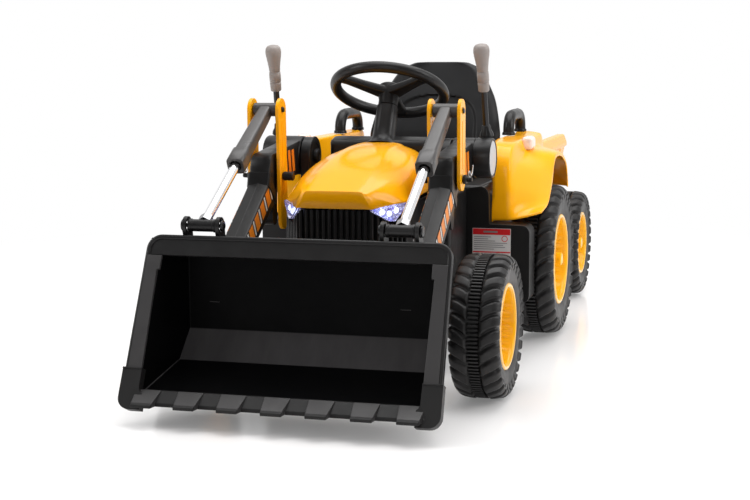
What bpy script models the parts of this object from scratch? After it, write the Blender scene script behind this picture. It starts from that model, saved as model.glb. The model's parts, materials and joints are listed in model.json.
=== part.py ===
"""Ride-on digger for a child: a battery tractor with a front loader, and a two-wheeled trailer.

Metres, +Z up. The front faces -Y, so +X is the vehicle's left side. Every piece is built in the vehicle's
frame, whose origin is on the floor under the rear axle, and hangs from an empty on its joint's axis.
"""

import math

import bmesh
import bpy
from mathutils import Matrix, Vector

# ---- overall layout ----
VEHICLE_Y = 0.1230  # moves the whole vehicle so that its bounding box is centred on the world origin
GAP = 0.0005  # clearance between pieces that touch
SIDES = {"left": 1, "right": -1}

# ---- wheels ----
REAR_R, FRONT_R = 0.157, 0.125
FRONT_Y, REAR_Y, TRAILER_Y = -0.612, 0.0, 0.517
WHEELS = {  # axle Y, radius, middle X, tyre width
    "front": (FRONT_Y, FRONT_R, 0.2695, 0.084),
    "rear": (REAR_Y, REAR_R, 0.2625, 0.089),
    "trailer": (TRAILER_Y, FRONT_R, 0.2395, 0.078),
}
RIM_RATIO = 0.60  # rim radius over tyre radius
AXLE_R, AXLE_BORE_R = 0.006, 0.0072
WHEEL_STEPS = 24

# ---- body and fenders ----
DECK_X, DECK_FRONT_Y, DECK_TOP_Z = 0.184, -0.235, 0.330
BODY_WALL = 0.006
FENDER_OUT_X = 0.293
HANDLE_X = 0.1855

# ---- steering ----
KINGPIN_X = 0.190
WHEEL_CENTRE = Vector((0.0, -0.252, 0.515))
COLUMN_TILT = math.radians(26.6)
COLUMN_AXIS = Vector((0.0, math.sin(COLUMN_TILT), math.cos(COLUMN_TILT)))
STEER_RIM_R, STEER_TUBE_R = 0.107, 0.0095
TIE_ROD_Y, CRANK_FOOT_Y = -0.535, -0.404

# ---- loader ----
BOOM_PIVOT = (-0.335, 0.392)  # (Y, Z) of the drums' axis
BUCKET_PIVOT = (-0.742, 0.190)
CYLINDER_TOP = (-0.492, 0.487)
CYLINDER_FOOT = (-0.808, 0.309)
KNEE_PIN = (-0.492, 0.365)
PLATE_FOOT = (-0.486, 0.285)
DRUM_R = 0.038
ARM_X = (0.150, 0.190)
DRUM_X = (0.1485, 0.224)
PLATE_THICK = 0.0075
PLATE_X = {"inner": 0.1385, "outer": 0.1932}

# ---- bucket: (Y, Z, half-width) of the shell, from the top edge round the back to the lip ----
BUCKET_TOP = (-0.823, 0.293, 0.2555)
BUCKET_BACK_TOP = (-0.768, 0.262, 0.214)
BUCKET_BACK_LOW = (-0.768, 0.128, 0.214)
BUCKET_FLOOR_BACK = (-0.800, 0.078, 0.222)
BUCKET_LIP = (-0.938, 0.0445, 0.262)
BUCKET_WALL = 0.004

# ---- trailer ----
HITCH_Y = 0.215
TUB_LOW_Z, TUB_TOP_Z, TUB_END_Z = 0.2645, 0.3765, 0.338
TUB_FRONT_Y, TUB_REAR_Y = 0.288, 0.715
TUB_TOP_X, TUB_LOW_X, TUB_RAIL_X = 0.204, 0.1825, 0.1785
TUB_WALL = 0.005

BLACK, BLACK_SATIN = (0.018, 0.018, 0.019), (0.03, 0.03, 0.032)
YELLOW, GREY_GRIP = (0.95, 0.52, 0.012), (0.36, 0.34, 0.32)
STEEL, CHROME = (0.45, 0.45, 0.46), (0.85, 0.85, 0.86)

pivots = {}


# ---------------------------------------------------------------- scene, materials, parenting
def clear_scene():
    for obj in list(bpy.data.objects):
        bpy.data.objects.remove(obj, do_unlink=True)


def make_collection(name):
    collection = bpy.data.collections.new(name)
    bpy.context.scene.collection.children.link(collection)
    return collection


def make_material(name, colour, roughness, metallic=0.0, alpha=1.0):
    material = bpy.data.materials.new(name)
    material.use_nodes = True
    shader = material.node_tree.nodes["Principled BSDF"]
    shader.inputs["Base Color"].default_value = (*colour, 1.0)
    shader.inputs["Roughness"].default_value = roughness
    shader.inputs["Metallic"].default_value = metallic
    shader.inputs["Alpha"].default_value = alpha
    return material


def make_pivot(name, location, parent="vehicle"):
    """An empty on a joint's axis. Its location is given in the vehicle's frame."""
    empty = bpy.data.objects.new(name, None)
    PART.objects.link(empty)
    empty.empty_display_size = 0.03
    if pivots:
        empty.parent = pivots[parent][0]
        empty.location = Vector(location) - pivots[parent][1]
        pivots[name] = (empty, Vector(location))
    else:
        empty.location = location
        pivots[name] = (empty, Vector((0, 0, 0)))


def place(obj, pivot, material, smooth=True):
    """Hangs a finished piece from its pivot, which leaves it where it was built in the vehicle's frame."""
    obj.data.materials.clear()
    obj.data.materials.append(material)
    obj.parent = pivots[pivot][0]
    obj.location = obj.location - pivots[pivot][1]
    if smooth:
        obj.data.shade_smooth()
        obj.data.set_sharp_from_angle(angle=math.radians(35))
    return obj


# ---------------------------------------------------------------- shapes
def from_bmesh(name, mesh_builder):
    mesh = bpy.data.meshes.new(name)
    mesh_builder.to_mesh(mesh)
    mesh_builder.free()
    obj = bpy.data.objects.new(name, mesh)
    PART.objects.link(obj)
    return obj


def box(name, low, high):
    low, high = Vector(low), Vector(high)
    builder = bmesh.new()
    size = high - low
    matrix = Matrix.Translation((low + high) / 2) @ Matrix.Diagonal((*size, 1.0))
    bmesh.ops.create_cube(builder, size=1.0, matrix=matrix)
    return from_bmesh(name, builder)


def rod(name, start, end, radius, end_radius=None, segments=16):
    """A round bar or a cone from start to end."""
    start, end = Vector(start), Vector(end)
    along = end - start
    turn = along.to_track_quat("Z", "Y").to_matrix().to_4x4()
    builder = bmesh.new()
    bmesh.ops.create_cone(
        builder,
        cap_ends=True,
        segments=segments,
        radius1=radius,
        radius2=radius if end_radius is None else end_radius,
        depth=along.length,
        matrix=Matrix.Translation((start + end) / 2) @ turn,
    )
    return from_bmesh(name, builder)


def cross_rod(name, x0, x1, centre, radius, segments=16):
    """A round bar along X, centred on a (Y, Z) point."""
    return rod(name, (x0, *centre), (x1, *centre), radius, segments=segments)


def evaluated_mesh(obj):
    """A new mesh object in place of obj, with its modifiers or its curve made real."""
    bpy.context.view_layer.update()
    graph = bpy.context.evaluated_depsgraph_get()
    mesh = bpy.data.meshes.new_from_object(obj.evaluated_get(graph))
    mesh.transform(obj.matrix_world)
    builder = bmesh.new()
    builder.from_mesh(mesh)
    bmesh.ops.remove_doubles(builder, verts=builder.verts, dist=1e-5)
    builder.to_mesh(mesh)
    builder.free()
    name = obj.name
    bpy.data.objects.remove(obj, do_unlink=True)
    solid = bpy.data.objects.new(name, mesh)
    PART.objects.link(solid)
    return solid


def flat_outline(name, rings, thickness):
    """A 2D curve of closed rings (the first is the outside, the others are holes), filled and extruded."""
    curve = bpy.data.curves.new(name, "CURVE")
    curve.dimensions = "2D"
    curve.fill_mode = "BOTH"
    curve.extrude = thickness / 2
    for ring in rings:
        spline = curve.splines.new("POLY")
        spline.points.add(len(ring) - 1)
        for point, (u, v) in zip(spline.points, ring):
            point.co = (u, v, 0, 1)
        spline.use_cyclic_u = True
    obj = bpy.data.objects.new(name, curve)
    PART.objects.link(obj)
    return obj


def side_outline(name, rings, x0, x1):
    """A plate whose rings are (Y, Z) points, between two X planes."""
    obj = flat_outline(name, rings, abs(x1 - x0))
    obj.rotation_euler = (math.pi / 2, 0, math.pi / 2)
    obj.location = ((x0 + x1) / 2, 0, 0)
    return evaluated_mesh(obj)


def plan_outline(name, rings, z0, z1):
    """A plate whose rings are (X, Y) points, between two heights."""
    obj = flat_outline(name, rings, z1 - z0)
    obj.location = (0, 0, (z0 + z1) / 2)
    return evaluated_mesh(obj)


def arc(centre, radius, start_deg, end_deg, count):
    """Points on an arc, counted from +first axis towards +second axis."""
    points = []
    for i in range(count):
        angle = math.radians(start_deg + (end_deg - start_deg) * i / (count - 1))
        points.append((centre[0] + radius * math.cos(angle), centre[1] + radius * math.sin(angle)))
    return points


def ring_points(centre, radius, count=16):
    return arc(centre, radius, 0, 360 * (count - 1) / count, count)


def link_outline(first, second, first_r, second_r, count=7):
    """A straight link with a round end on each of two centres."""
    heading = math.degrees(math.atan2(second[1] - first[1], second[0] - first[0]))
    ends = arc(second, second_r, heading - 90, heading + 90, count)
    return ends + arc(first, first_r, heading + 90, heading + 270, count)


def turned(name, profile, centre, steps, side=1):
    """A closed (radius, offset) profile turned about an axis along X. Positive offsets face outboard."""
    mesh = bpy.data.meshes.new(name)
    count = len(profile)
    points = [(radius, 0, offset) for radius, offset in profile]
    mesh.from_pydata(points, [(i, (i + 1) % count) for i in range(count)], [])
    obj = bpy.data.objects.new(name, mesh)
    PART.objects.link(obj)
    screw = obj.modifiers.new("turn", "SCREW")
    screw.steps = screw.render_steps = steps
    screw.use_merge_vertices = True
    screw.merge_threshold = 0.0001
    obj.rotation_euler = (0, side * math.pi / 2, 0)
    obj.location = centre
    return obj


def tube_along(name, points, radius, resolution=2):
    curve = bpy.data.curves.new(name, "CURVE")
    curve.dimensions = "3D"
    curve.bevel_depth = radius
    curve.bevel_resolution = resolution
    curve.use_fill_caps = True
    spline = curve.splines.new("POLY")
    spline.points.add(len(points) - 1)
    for point, place_at in zip(spline.points, points):
        point.co = (*place_at, 1)
    obj = bpy.data.objects.new(name, curve)
    PART.objects.link(obj)
    return evaluated_mesh(obj)


def loft(name, sections, closed=True):
    """Faces between sections of equal length. Closed sections are rings, and the first and last are capped."""
    mesh = bpy.data.meshes.new(name)
    count = len(sections[0])
    points = [point for section in sections for point in section]
    faces = []
    for row in range(len(sections) - 1):
        for i in range(count if closed else count - 1):
            j = (i + 1) % count
            low, high = row * count, (row + 1) * count
            faces.append((low + i, low + j, high + j, high + i))
    if closed:
        faces.append(tuple(reversed(range(count))))
        faces.append(tuple((len(sections) - 1) * count + i for i in range(count)))
    mesh.from_pydata(points, [], faces)
    builder = bmesh.new()
    builder.from_mesh(mesh)
    if closed:
        bmesh.ops.recalc_face_normals(builder, faces=builder.faces)
    builder.to_mesh(mesh)
    builder.free()
    obj = bpy.data.objects.new(name, mesh)
    PART.objects.link(obj)
    return obj


def thicken(obj, thickness, offset=-1):
    """Makes an open sheet a shell."""
    solidify = obj.modifiers.new("wall", "SOLIDIFY")
    solidify.thickness = thickness
    solidify.offset = offset
    solidify.use_even_offset = True
    return obj


def combine(base, others, operation):
    """The base with the other solids joined to it or cut out of it."""
    for i, other in enumerate(others):
        boolean = base.modifiers.new(f"{operation}_{i}", "BOOLEAN")
        boolean.operation = operation
        boolean.solver = "EXACT"
        boolean.object = other
    solid = evaluated_mesh(base)
    for other in others:
        bpy.data.objects.remove(other, do_unlink=True)
    return solid


def joined(base, *others):
    return combine(base, others, "UNION")


def cut(base, *others):
    return combine(base, others, "DIFFERENCE")


def mirrored_pair(build):
    """Calls a builder for the left side and the right side."""
    for name, side in SIDES.items():
        build(name, side)


def flip_to(obj, side):
    """Mirrors a finished left-hand solid to the right-hand side."""
    if side > 0:
        return obj
    builder = bmesh.new()
    builder.from_mesh(obj.data)
    bmesh.ops.transform(builder, matrix=Matrix.Scale(-1, 4, (1, 0, 0)), verts=builder.verts)
    bmesh.ops.reverse_faces(builder, faces=builder.faces)
    builder.to_mesh(obj.data)
    builder.free()
    return obj


# ---------------------------------------------------------------- body of the tractor
def make_lower_body():
    """One black moulding, open below: nose, loader pedestals, footrests, seat deck and front panels."""
    nose = box("lower_body", (-0.110, FRONT_Y, 0.150), (0.110, -0.225, 0.325))
    deck = box("deck", (-DECK_X, DECK_FRONT_Y, 0.150), (DECK_X, 0.175, DECK_TOP_Z))
    footrest = box("footrest", (-0.265, -0.455, 0.098), (0.265, -0.205, 0.113))
    tongue = box("tongue", (-0.032, 0.165, 0.165), (0.032, 0.240, 0.182))
    hitch_peg = rod("hitch_peg", (0, HITCH_Y, 0.175), (0, HITCH_Y, 0.222), 0.0055)
    solids = [deck, footrest, tongue, hitch_peg]
    for side in SIDES.values():
        low_x, high_x = sorted((side * 0.105, side * 0.150))
        solids.append(box("pedestal", (low_x, -0.378, 0.105), (high_x, -0.225, 0.325)))
        low_x, high_x = sorted((side * 0.145, side * 0.290))
        solids.append(box("panel", (low_x, DECK_FRONT_Y, 0.100), (high_x, -0.174, 0.256)))
        cheek = link_outline((BOOM_PIVOT[0], 0.300), BOOM_PIVOT, 0.036, 0.036, 9)
        solids.append(side_outline("cheek", [cheek], side * 0.128, side * 0.146))
    body = joined(nose, *solids)
    inner_x = DECK_X - BODY_WALL
    hollows = [
        box("nose_hollow", (-0.104, FRONT_Y + 0.006, 0.140), (0.104, -0.200, 0.319)),
        box("deck_hollow", (-inner_x, -0.229, 0.156), (inner_x, 0.169, DECK_TOP_Z - BODY_WALL)),
        box("deck_mouth", (-inner_x, -0.045, 0.140), (inner_x, 0.169, 0.200)),
    ]
    for side in SIDES.values():
        low_x, high_x = sorted((side * 0.100, side * 0.144))
        hollows.append(box("pedestal_hollow", (low_x, -0.372, 0.090), (high_x, -0.200, 0.319)))
        low_x, high_x = sorted((side * 0.138, side * 0.284))
        hollows.append(box("panel_hollow", (low_x, -0.229, 0.090), (high_x, -0.160, 0.250)))
        bore = cross_rod("pivot_bore", side * 0.12, side * 0.16, BOOM_PIVOT, 0.0090)
        hollows.append(bore)
        low_x, high_x = sorted((side * 0.062, side * 0.130))
        hollows.append(box("lamp_recess", (low_x, -0.620, 0.294), (high_x, -0.578, 0.330)))
    hollows.append(cross_rod("axle_bore", -0.22, 0.22, (REAR_Y, REAR_R), 0.0085))
    hollows.append(column_cylinder("column_bore", -0.30, -0.10, 0.012))
    body = cut(body, *hollows)
    place(body, "vehicle", PLASTIC, smooth=False)


def column_cylinder(name, low, high, radius, end_radius=None, segments=16):
    """A round bar on the steering column's axis, between two distances from the wheel's centre."""
    start = WHEEL_CENTRE + COLUMN_AXIS * low
    end = WHEEL_CENTRE + COLUMN_AXIS * high
    return rod(name, start, end, radius, end_radius, segments)


def hood_section(y, crest, crease, shoulder, edge):
    """Half of a hood rib: (X, Z) of the crest, the panel crease, the shoulder and the lower edge."""
    return [(x, y, z) for x, z in (crest, crease, shoulder, edge)]


def make_hood():
    rows = [
        hood_section(-0.326, (0, 0.417), (0.044, 0.413), (0.084, 0.392), (0.108, 0.336)),
        hood_section(-0.400, (0, 0.413), (0.046, 0.409), (0.090, 0.386), (0.112, 0.334)),
        hood_section(-0.470, (0, 0.402), (0.048, 0.399), (0.094, 0.372), (0.115, 0.332)),
        hood_section(-0.545, (0, 0.376), (0.050, 0.373), (0.096, 0.356), (0.116, 0.331)),
        hood_section(-0.605, (0, 0.351), (0.054, 0.348), (0.088, 0.340), (0.106, 0.330)),
        hood_section(-0.632, (0, 0.330), (0.050, 0.330), (0.074, 0.330), (0.086, 0.3295)),
    ]
    hood = loft("hood", rows, closed=False)
    mirror = hood.modifiers.new("mirror", "MIRROR")
    mirror.merge_threshold = 0.0001
    thicken(hood, 0.003, 1)
    place(hood, "vehicle", YELLOW_GLOSS)


def make_headlight(name, side):
    """A clear lens that wraps the corner between the hood and the grille."""
    outline = [(0.066, 0.320), (0.098, 0.297), (0.124, 0.320), (0.122, 0.3255), (0.070, 0.3255)]
    rows = []
    for depth in (0.008, 0.001):
        rows.append([(x, FRONT_Y - depth + max(0.0, x - 0.10) * 1.5, z) for x, z in outline])
    lens = loft(f"headlight_{name}", rows)
    place(flip_to(lens, side), "vehicle", CLEAR)


def make_steering_cowl():
    outline = [(-0.3225, 0.3255), (-0.2375, 0.3255), (-0.2375, 0.352), (-0.250, 0.402)]
    outline += [(-0.288, 0.429), (-0.3225, 0.4185)]
    dash = side_outline("steering_cowl", [outline], -0.106, 0.106)
    column = column_cylinder("column", -0.115, -0.036, 0.025, 0.0155)
    cowl = joined(dash, column)
    cowl = cut(cowl, column_cylinder("bore", -0.26, 0.0, 0.0075))
    place(cowl, "vehicle", PLASTIC)


def make_seat():
    """One moulded seat: a pan, and a tall back that leans and rounds off at the top."""
    pan = box("seat", (-0.135, -0.110, 0.3305), (0.135, 0.125, 0.360))
    thick = 0.030
    rows = []
    for z, half, y in (
        (0.3305, 0.137, 0.084), (0.394, 0.146, 0.104), (0.422, 0.145, 0.113), (0.478, 0.1315, 0.137),
        (0.5145, 0.113, 0.1535), (0.5375, 0.096, 0.164), (0.555, 0.073, 0.172), (0.5645, 0.043, 0.1765),
    ):
        rows.append([(-half, y, z), (half, y, z), (half, y + thick, z), (-half, y + thick, z)])
    seat = joined(pan, loft("seat_back", rows))
    place(seat, "vehicle", PLASTIC)


def make_fender(name, side):
    """A yellow arch over the rear wheel: a wall in front, a stepped top, and a drop behind."""
    path = [  # inner X, ridge (Y, Z), outer edge (Y, Z)
        (0.197, (-0.2155, 0.2615), (-0.1970, 0.2780)),
        (0.197, (-0.2155, 0.288), (-0.1295, 0.2865)),
        (0.197, (-0.2150, 0.331), (-0.0960, 0.3070)),
        (0.195, (-0.2065, 0.379), (-0.0710, 0.3360)),
        (0.188, (-0.1775, 0.407), (-0.0500, 0.3630)),
        (0.1785, (-0.1200, 0.413), (-0.0240, 0.3790)),
        (0.1725, (0.0000, 0.413), (0.0290, 0.3800)),
        (0.1725, (0.1150, 0.413), (0.0815, 0.3705)),
        (0.1725, (0.1730, 0.411), (0.1250, 0.3505)),
        (0.1785, (0.1870, 0.3455), (0.1440, 0.3120)),
        (0.1825, (0.1870, 0.2975), (0.1470, 0.2975)),
    ]
    front_shares, top_shares = (0.0, 0.0, 0.12, 0.70, 1.0), (0.0, 0.10, 0.62, 0.85, 1.0)
    rows = []
    for inner_x, (ridge_y, ridge_z), (edge_y, edge_z) in path:
        shares = top_shares if ridge_y > -0.19 and ridge_z > 0.34 else front_shares
        row = []
        for x, share in zip((inner_x + 0.005, 0.2055, 0.234, 0.2765, FENDER_OUT_X), shares):
            row.append((x, ridge_y + (edge_y - ridge_y) * share, ridge_z + (edge_z - ridge_z) * share))
        wall_z = max(min(ridge_z - 0.02, 0.337), 0.28) if ridge_z > 0.31 else ridge_z - 0.003
        row.insert(0, (inner_x, ridge_y + 0.006 * (ridge_z > 0.33), wall_z))
        rows.append(row)
    fender = thicken(loft(f"fender_{name}", rows, closed=False), 0.0035, -1)
    fender = evaluated_mesh(fender)
    place(flip_to(fender, side), "vehicle", YELLOW_GLOSS)


def make_grab_handle(name, side):
    x, foot_z, top_z, bend = HANDLE_X, 0.4180, 0.4540, 0.029
    front_y, rear_y = 0.019, 0.153
    front_bend = [(x, front_y + bend + u, top_z - bend + v) for u, v in arc((0, 0), bend, 180, 90, 5)]
    rear_bend = [(x, rear_y - bend + u, top_z - bend + v) for u, v in arc((0, 0), bend, 90, 0, 5)]
    path = [(x, front_y, foot_z), *front_bend, *rear_bend, (x, rear_y, foot_z)]
    handle = tube_along(f"grab_handle_{name}", path, 0.0120)
    place(flip_to(handle, side), "vehicle", PLASTIC)


def make_front_axle_beam():
    beam = box("front_axle_beam", (-0.176, FRONT_Y - 0.010, 0.112), (0.176, FRONT_Y + 0.010, 0.138))
    lugs = []
    for side in SIDES.values():
        for low_z in (0.1035, 0.1405):
            low_x, high_x = sorted((side * 0.165, side * 0.200))
            lug = box("lug", (low_x, FRONT_Y - 0.010, low_z), (high_x, FRONT_Y + 0.010, low_z + 0.006))
            lugs.append(lug)
        low_x, high_x = sorted((side * 0.165, side * 0.176))
        lugs.append(box("web", (low_x, FRONT_Y - 0.010, 0.1035), (high_x, FRONT_Y + 0.010, 0.1465)))
    beam = joined(beam, *lugs)
    holes = []
    for side in SIDES.values():
        x = side * KINGPIN_X
        holes.append(rod("hole", (x, FRONT_Y, 0.09), (x, FRONT_Y, 0.16), 0.0062))
    place(cut(beam, *holes), "vehicle", STEEL_GREY)


def make_knuckle(name, side):
    """Kingpin, stub axle and steering arm of one front wheel."""
    top = (KINGPIN_X, FRONT_Y, 0.152)
    pin = rod(f"knuckle_{name}", (KINGPIN_X, FRONT_Y, 0.098), top, 0.005)
    block = box("block", (0.1825, FRONT_Y - 0.008, 0.110), (0.1975, FRONT_Y + 0.008, 0.140))
    stub = cross_rod("stub", 0.190, 0.292, (FRONT_Y, FRONT_R), AXLE_R)
    arm_ring = link_outline((KINGPIN_X, FRONT_Y), (KINGPIN_X, TIE_ROD_Y), 0.007, 0.0105)
    arm = plan_outline("arm", [arm_ring, ring_points((KINGPIN_X, TIE_ROD_Y), 0.0068)], 0.1185, 0.1255)
    knuckle = joined(pin, block, stub, arm)
    place(flip_to(knuckle, side), f"{name}_kingpin", STEEL_GREY)


def make_tie_rod():
    """A cross bar with a pin down into each knuckle's arm, and a slotted tail for the crank."""
    half, bar, tail = KINGPIN_X + 0.008, 0.007, 0.013
    tail_y = CRANK_FOOT_Y + 0.024
    outline = [
        (-half, TIE_ROD_Y - bar), (half, TIE_ROD_Y - bar), (half, TIE_ROD_Y + bar),
        (tail, TIE_ROD_Y + bar), (tail, tail_y), (-tail, tail_y),
        (-tail, TIE_ROD_Y + bar), (-half, TIE_ROD_Y + bar),
    ]
    low, high = (0, CRANK_FOOT_Y - 0.007), (0, CRANK_FOOT_Y + 0.009)
    slot = link_outline(low, high, 0.006, 0.006)
    tie = plan_outline("tie_rod", [outline, slot], 0.1285, 0.1345)
    pins = []
    for side in SIDES.values():
        x = side * KINGPIN_X
        pins.append(rod("pin", (x, TIE_ROD_Y, 0.1165), (x, TIE_ROD_Y, 0.131), 0.003, segments=12))
    place(joined(tie, *pins), "tie_rod_slide", STEEL_GREY)


def make_steering_shaft():
    """A bent steel rod: the column, a short crank at its foot, and the crank's pin."""
    top = WHEEL_CENTRE + COLUMN_AXIS * -0.012
    foot = WHEEL_CENTRE + COLUMN_AXIS * -0.375
    crank = foot + Vector((0, COLUMN_AXIS.z, -COLUMN_AXIS.y)) * 0.035
    pin_foot = crank - COLUMN_AXIS * 0.034
    shaft = tube_along("steering_shaft", [top, foot, crank, pin_foot], 0.0040, 2)
    place(shaft, "steering_column_axis", STEEL_GREY)


def make_steering_wheel():
    circle = ring_points((STEER_RIM_R, 0), STEER_TUBE_R, 8)
    rim = turned("steering_wheel", [(u, v) for u, v in reversed(circle)], (0, 0, 0), 28)
    rim.rotation_euler = (0, 0, 0)
    rim = evaluated_mesh(rim)
    hub = rod("hub", (0, 0, -0.034), (0, 0, 0.012), 0.0165, 0.0195, segments=20)
    spokes = []
    for angle in (90, 215, 325):
        a = math.radians(angle)
        end = (STEER_RIM_R * math.cos(a), STEER_RIM_R * math.sin(a), 0)
        spokes.append(rod("spoke", (0, 0, -0.006), end, 0.0095, 0.0075, segments=10))
    wheel = joined(rim, hub, *spokes)
    wheel = cut(wheel, rod("bore", (0, 0, -0.05), (0, 0, -0.008), 0.0048, segments=12))
    wheel.data.transform(Matrix.Translation(WHEEL_CENTRE) @ Matrix.Rotation(-COLUMN_TILT, 4, "X"))
    place(wheel, "steering_column_axis", PLASTIC)


def make_drivetrain():
    axle = cross_rod("rear_axle", -0.303, 0.303, (REAR_Y, REAR_R), AXLE_R)
    place(axle, "vehicle", STEEL_GREY)
    battery = box("battery", (-0.075, -0.165, 0.1565), (0.075, -0.060, 0.252))
    place(battery, "vehicle", PLASTIC, smooth=False)
    mirrored_pair(make_gear_motor)


def make_gear_motor(name, side):
    """A gearbox that the axle runs through, with its motor beside it."""
    housing = link_outline((REAR_Y, REAR_R), (REAR_Y + 0.075, REAR_R + 0.030), 0.026, 0.022)
    rings = [housing, ring_points((REAR_Y, REAR_R), 0.0080)]
    gearbox = side_outline(f"gear_motor_{name}", rings, 0.132, 0.174)
    can = cross_rod("can", 0.074, 0.137, (REAR_Y + 0.078, REAR_R + 0.031), 0.0175)
    motor = joined(gearbox, can)
    place(flip_to(motor, side), "vehicle", STEEL_GREY)


def make_pedal():
    outline = [(-0.386, 0.1145), (-0.384, 0.1195), (-0.444, 0.1475), (-0.449, 0.1425)]
    pedal = side_outline("accelerator_pedal", [outline], -0.196, -0.146)
    place(pedal, "pedal_hinge", PLASTIC, smooth=False)


# ---------------------------------------------------------------- wheels
def make_wheel(axle, name, side):
    y, radius, middle_x, width = WHEELS[axle]
    half = width / 2
    seat_r = radius * RIM_RATIO
    tyre = [
        (seat_r + 0.003, half), (radius * 0.90, half), (radius * 0.975, half * 0.80),
        (radius, half * 0.35), (radius, -half * 0.35),
        (radius * 0.975, -half * 0.80), (radius * 0.90, -half), (seat_r + 0.003, -half),
    ]
    rim_face, wall, web = half - 0.004, 0.004, -0.004
    rim = [
        (seat_r, rim_face), (seat_r, -half + 0.006), (seat_r - wall, -half + 0.006),
        (seat_r - wall, web - 0.006), (AXLE_BORE_R, web - 0.006), (AXLE_BORE_R, web + 0.010),
        (seat_r - wall, web), (seat_r - wall, rim_face),
    ]
    seat_band = [(seat_r + GAP, half - 0.002), (seat_r + GAP, -half + 0.004)]
    tyre += list(reversed(seat_band))
    centre = (side * middle_x, y, radius)
    pivot = f"{axle}_wheel_{name}"
    place(turned(f"{axle}_tyre_{name}", tyre, centre, WHEEL_STEPS, side), pivot, TYRE_BLACK)
    place(turned(f"{axle}_rim_{name}", rim, centre, WHEEL_STEPS, side), pivot, YELLOW_GLOSS)


# ---------------------------------------------------------------- loader
def make_boom_arm(name, side):
    """Drum, rear segment, knee collar and front segment of one arm, in one moulding."""
    py, pz = BUCKET_PIVOT
    top = [(-0.345, 0.4245), (-0.505, 0.407), (-0.526, 0.400), (-0.529, 0.372), (-0.533, 0.352)]
    foot = arc(BUCKET_PIVOT, 0.0160, 127, 307, 9)
    under = [(-0.497, 0.326), (-0.470, 0.350), (-0.345, 0.360)]
    holes = [ring_points(BUCKET_PIVOT, 0.0058, 12), ring_points(KNEE_PIN, 0.0066, 12)]
    arm = side_outline(f"boom_arm_{name}", [top + foot + under, *holes], *ARM_X)
    drum = cross_rod("drum", *DRUM_X, BOOM_PIVOT, DRUM_R, segments=28)
    gusset = side_outline("gusset", [link_outline(PLATE_FOOT, (-0.484, 0.338), 0.012, 0.013)], 0.160, 0.178)
    stub = cross_rod("stub", 0.1465, 0.165, PLATE_FOOT, 0.009)
    collar_ring = [(-0.5405, 0.376), (-0.5445, 0.349), (-0.505, 0.315), (-0.482, 0.335), (-0.508, 0.376)]
    collar = side_outline("collar", [collar_ring], ARM_X[0] - 0.0022, ARM_X[1] + 0.0022)
    arm = joined(arm, drum, gusset, stub, collar)
    bore = cross_rod("bore", 0.14, 0.21, BOOM_PIVOT, 0.0085)
    place(flip_to(cut(arm, bore), side), "boom_pivot", PLASTIC)


def make_boom_pin(name, side):
    pin = cross_rod(f"boom_pivot_pin_{name}", 0.121, 0.206, BOOM_PIVOT, 0.0078)
    head = cross_rod("head", 0.1205, 0.1268, BOOM_PIVOT, 0.013)
    place(flip_to(joined(pin, head), side), "vehicle", STEEL_GREY)


def lever_point(height):
    """A point on the lever's line, which leans forward from the drum."""
    foot, top = Vector((0.207, -0.3155, 0.4300)), Vector((0.2035, -0.360, 0.606))
    return foot + (top - foot) * ((height - foot.z) / (top.z - foot.z))


def make_lever(name, side):
    shaft = rod(f"lever_rod_{name}", lever_point(0.4340), lever_point(0.545), 0.0058, segments=14)
    place(flip_to(shaft, side), "boom_pivot", STEEL_GREY)
    low = lever_point(0.516)
    along = (lever_point(0.606) - low).normalized()
    grip = None
    for start, end, r0, r1 in (
        (0.0, 0.048, 0.0095, 0.0125), (0.047, 0.078, 0.0124, 0.0150), (0.077, 0.088, 0.0152, 0.0125),
    ):
        piece = rod(f"lever_grip_{name}", low + along * start, low + along * end, r0, r1, 16)
        grip = piece if grip is None else joined(grip, piece)
    grip = cut(grip, rod("bore", low - along * 0.01, low + along * 0.036, 0.0064, segments=14))
    place(flip_to(grip, side), "boom_pivot", GRIP)


def make_link_plates(name, side):
    top_hole = ring_points(CYLINDER_TOP, 0.0058, 12)
    inner_outline = link_outline(CYLINDER_TOP, PLATE_FOOT, 0.0210, 0.0190)
    outer_outline = link_outline(CYLINDER_TOP, KNEE_PIN, 0.0210, 0.0210)
    for kind, ring in (("inner", inner_outline), ("outer", outer_outline)):
        x0 = PLATE_X[kind]
        rings = [ring, top_hole, ring_points(KNEE_PIN, 0.0066, 12)]
        plate = side_outline(f"link_plate_{kind}_{name}", rings, x0, x0 + PLATE_THICK)
        place(flip_to(plate, side), "boom_pivot", YELLOW_GLOSS)


def make_link_pins(name, side):
    top_pin = cross_rod(f"cylinder_top_pin_{name}", 0.136, 0.203, CYLINDER_TOP, 0.0050, 12)
    place(flip_to(top_pin, side), "boom_pivot", STEEL_GREY)
    pin = cross_rod(f"knee_pin_{name}", 0.119, 0.208, KNEE_PIN, 0.0058, 12)
    grip = cross_rod("grip", 0.1185, 0.1375, KNEE_PIN, 0.0085, 12)
    head = cross_rod("head", 0.2013, 0.2075, KNEE_PIN, 0.0085, 12)
    place(flip_to(joined(pin, grip, head), side), "boom_pivot", PLASTIC)


def cylinder_point(distance, x=0.1695):
    """A point on the tilt cylinder's axis, at a distance from its top pin."""
    top, foot = Vector((x, *CYLINDER_TOP)), Vector((x, *CYLINDER_FOOT))
    return top + (foot - top).normalized() * distance


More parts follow.
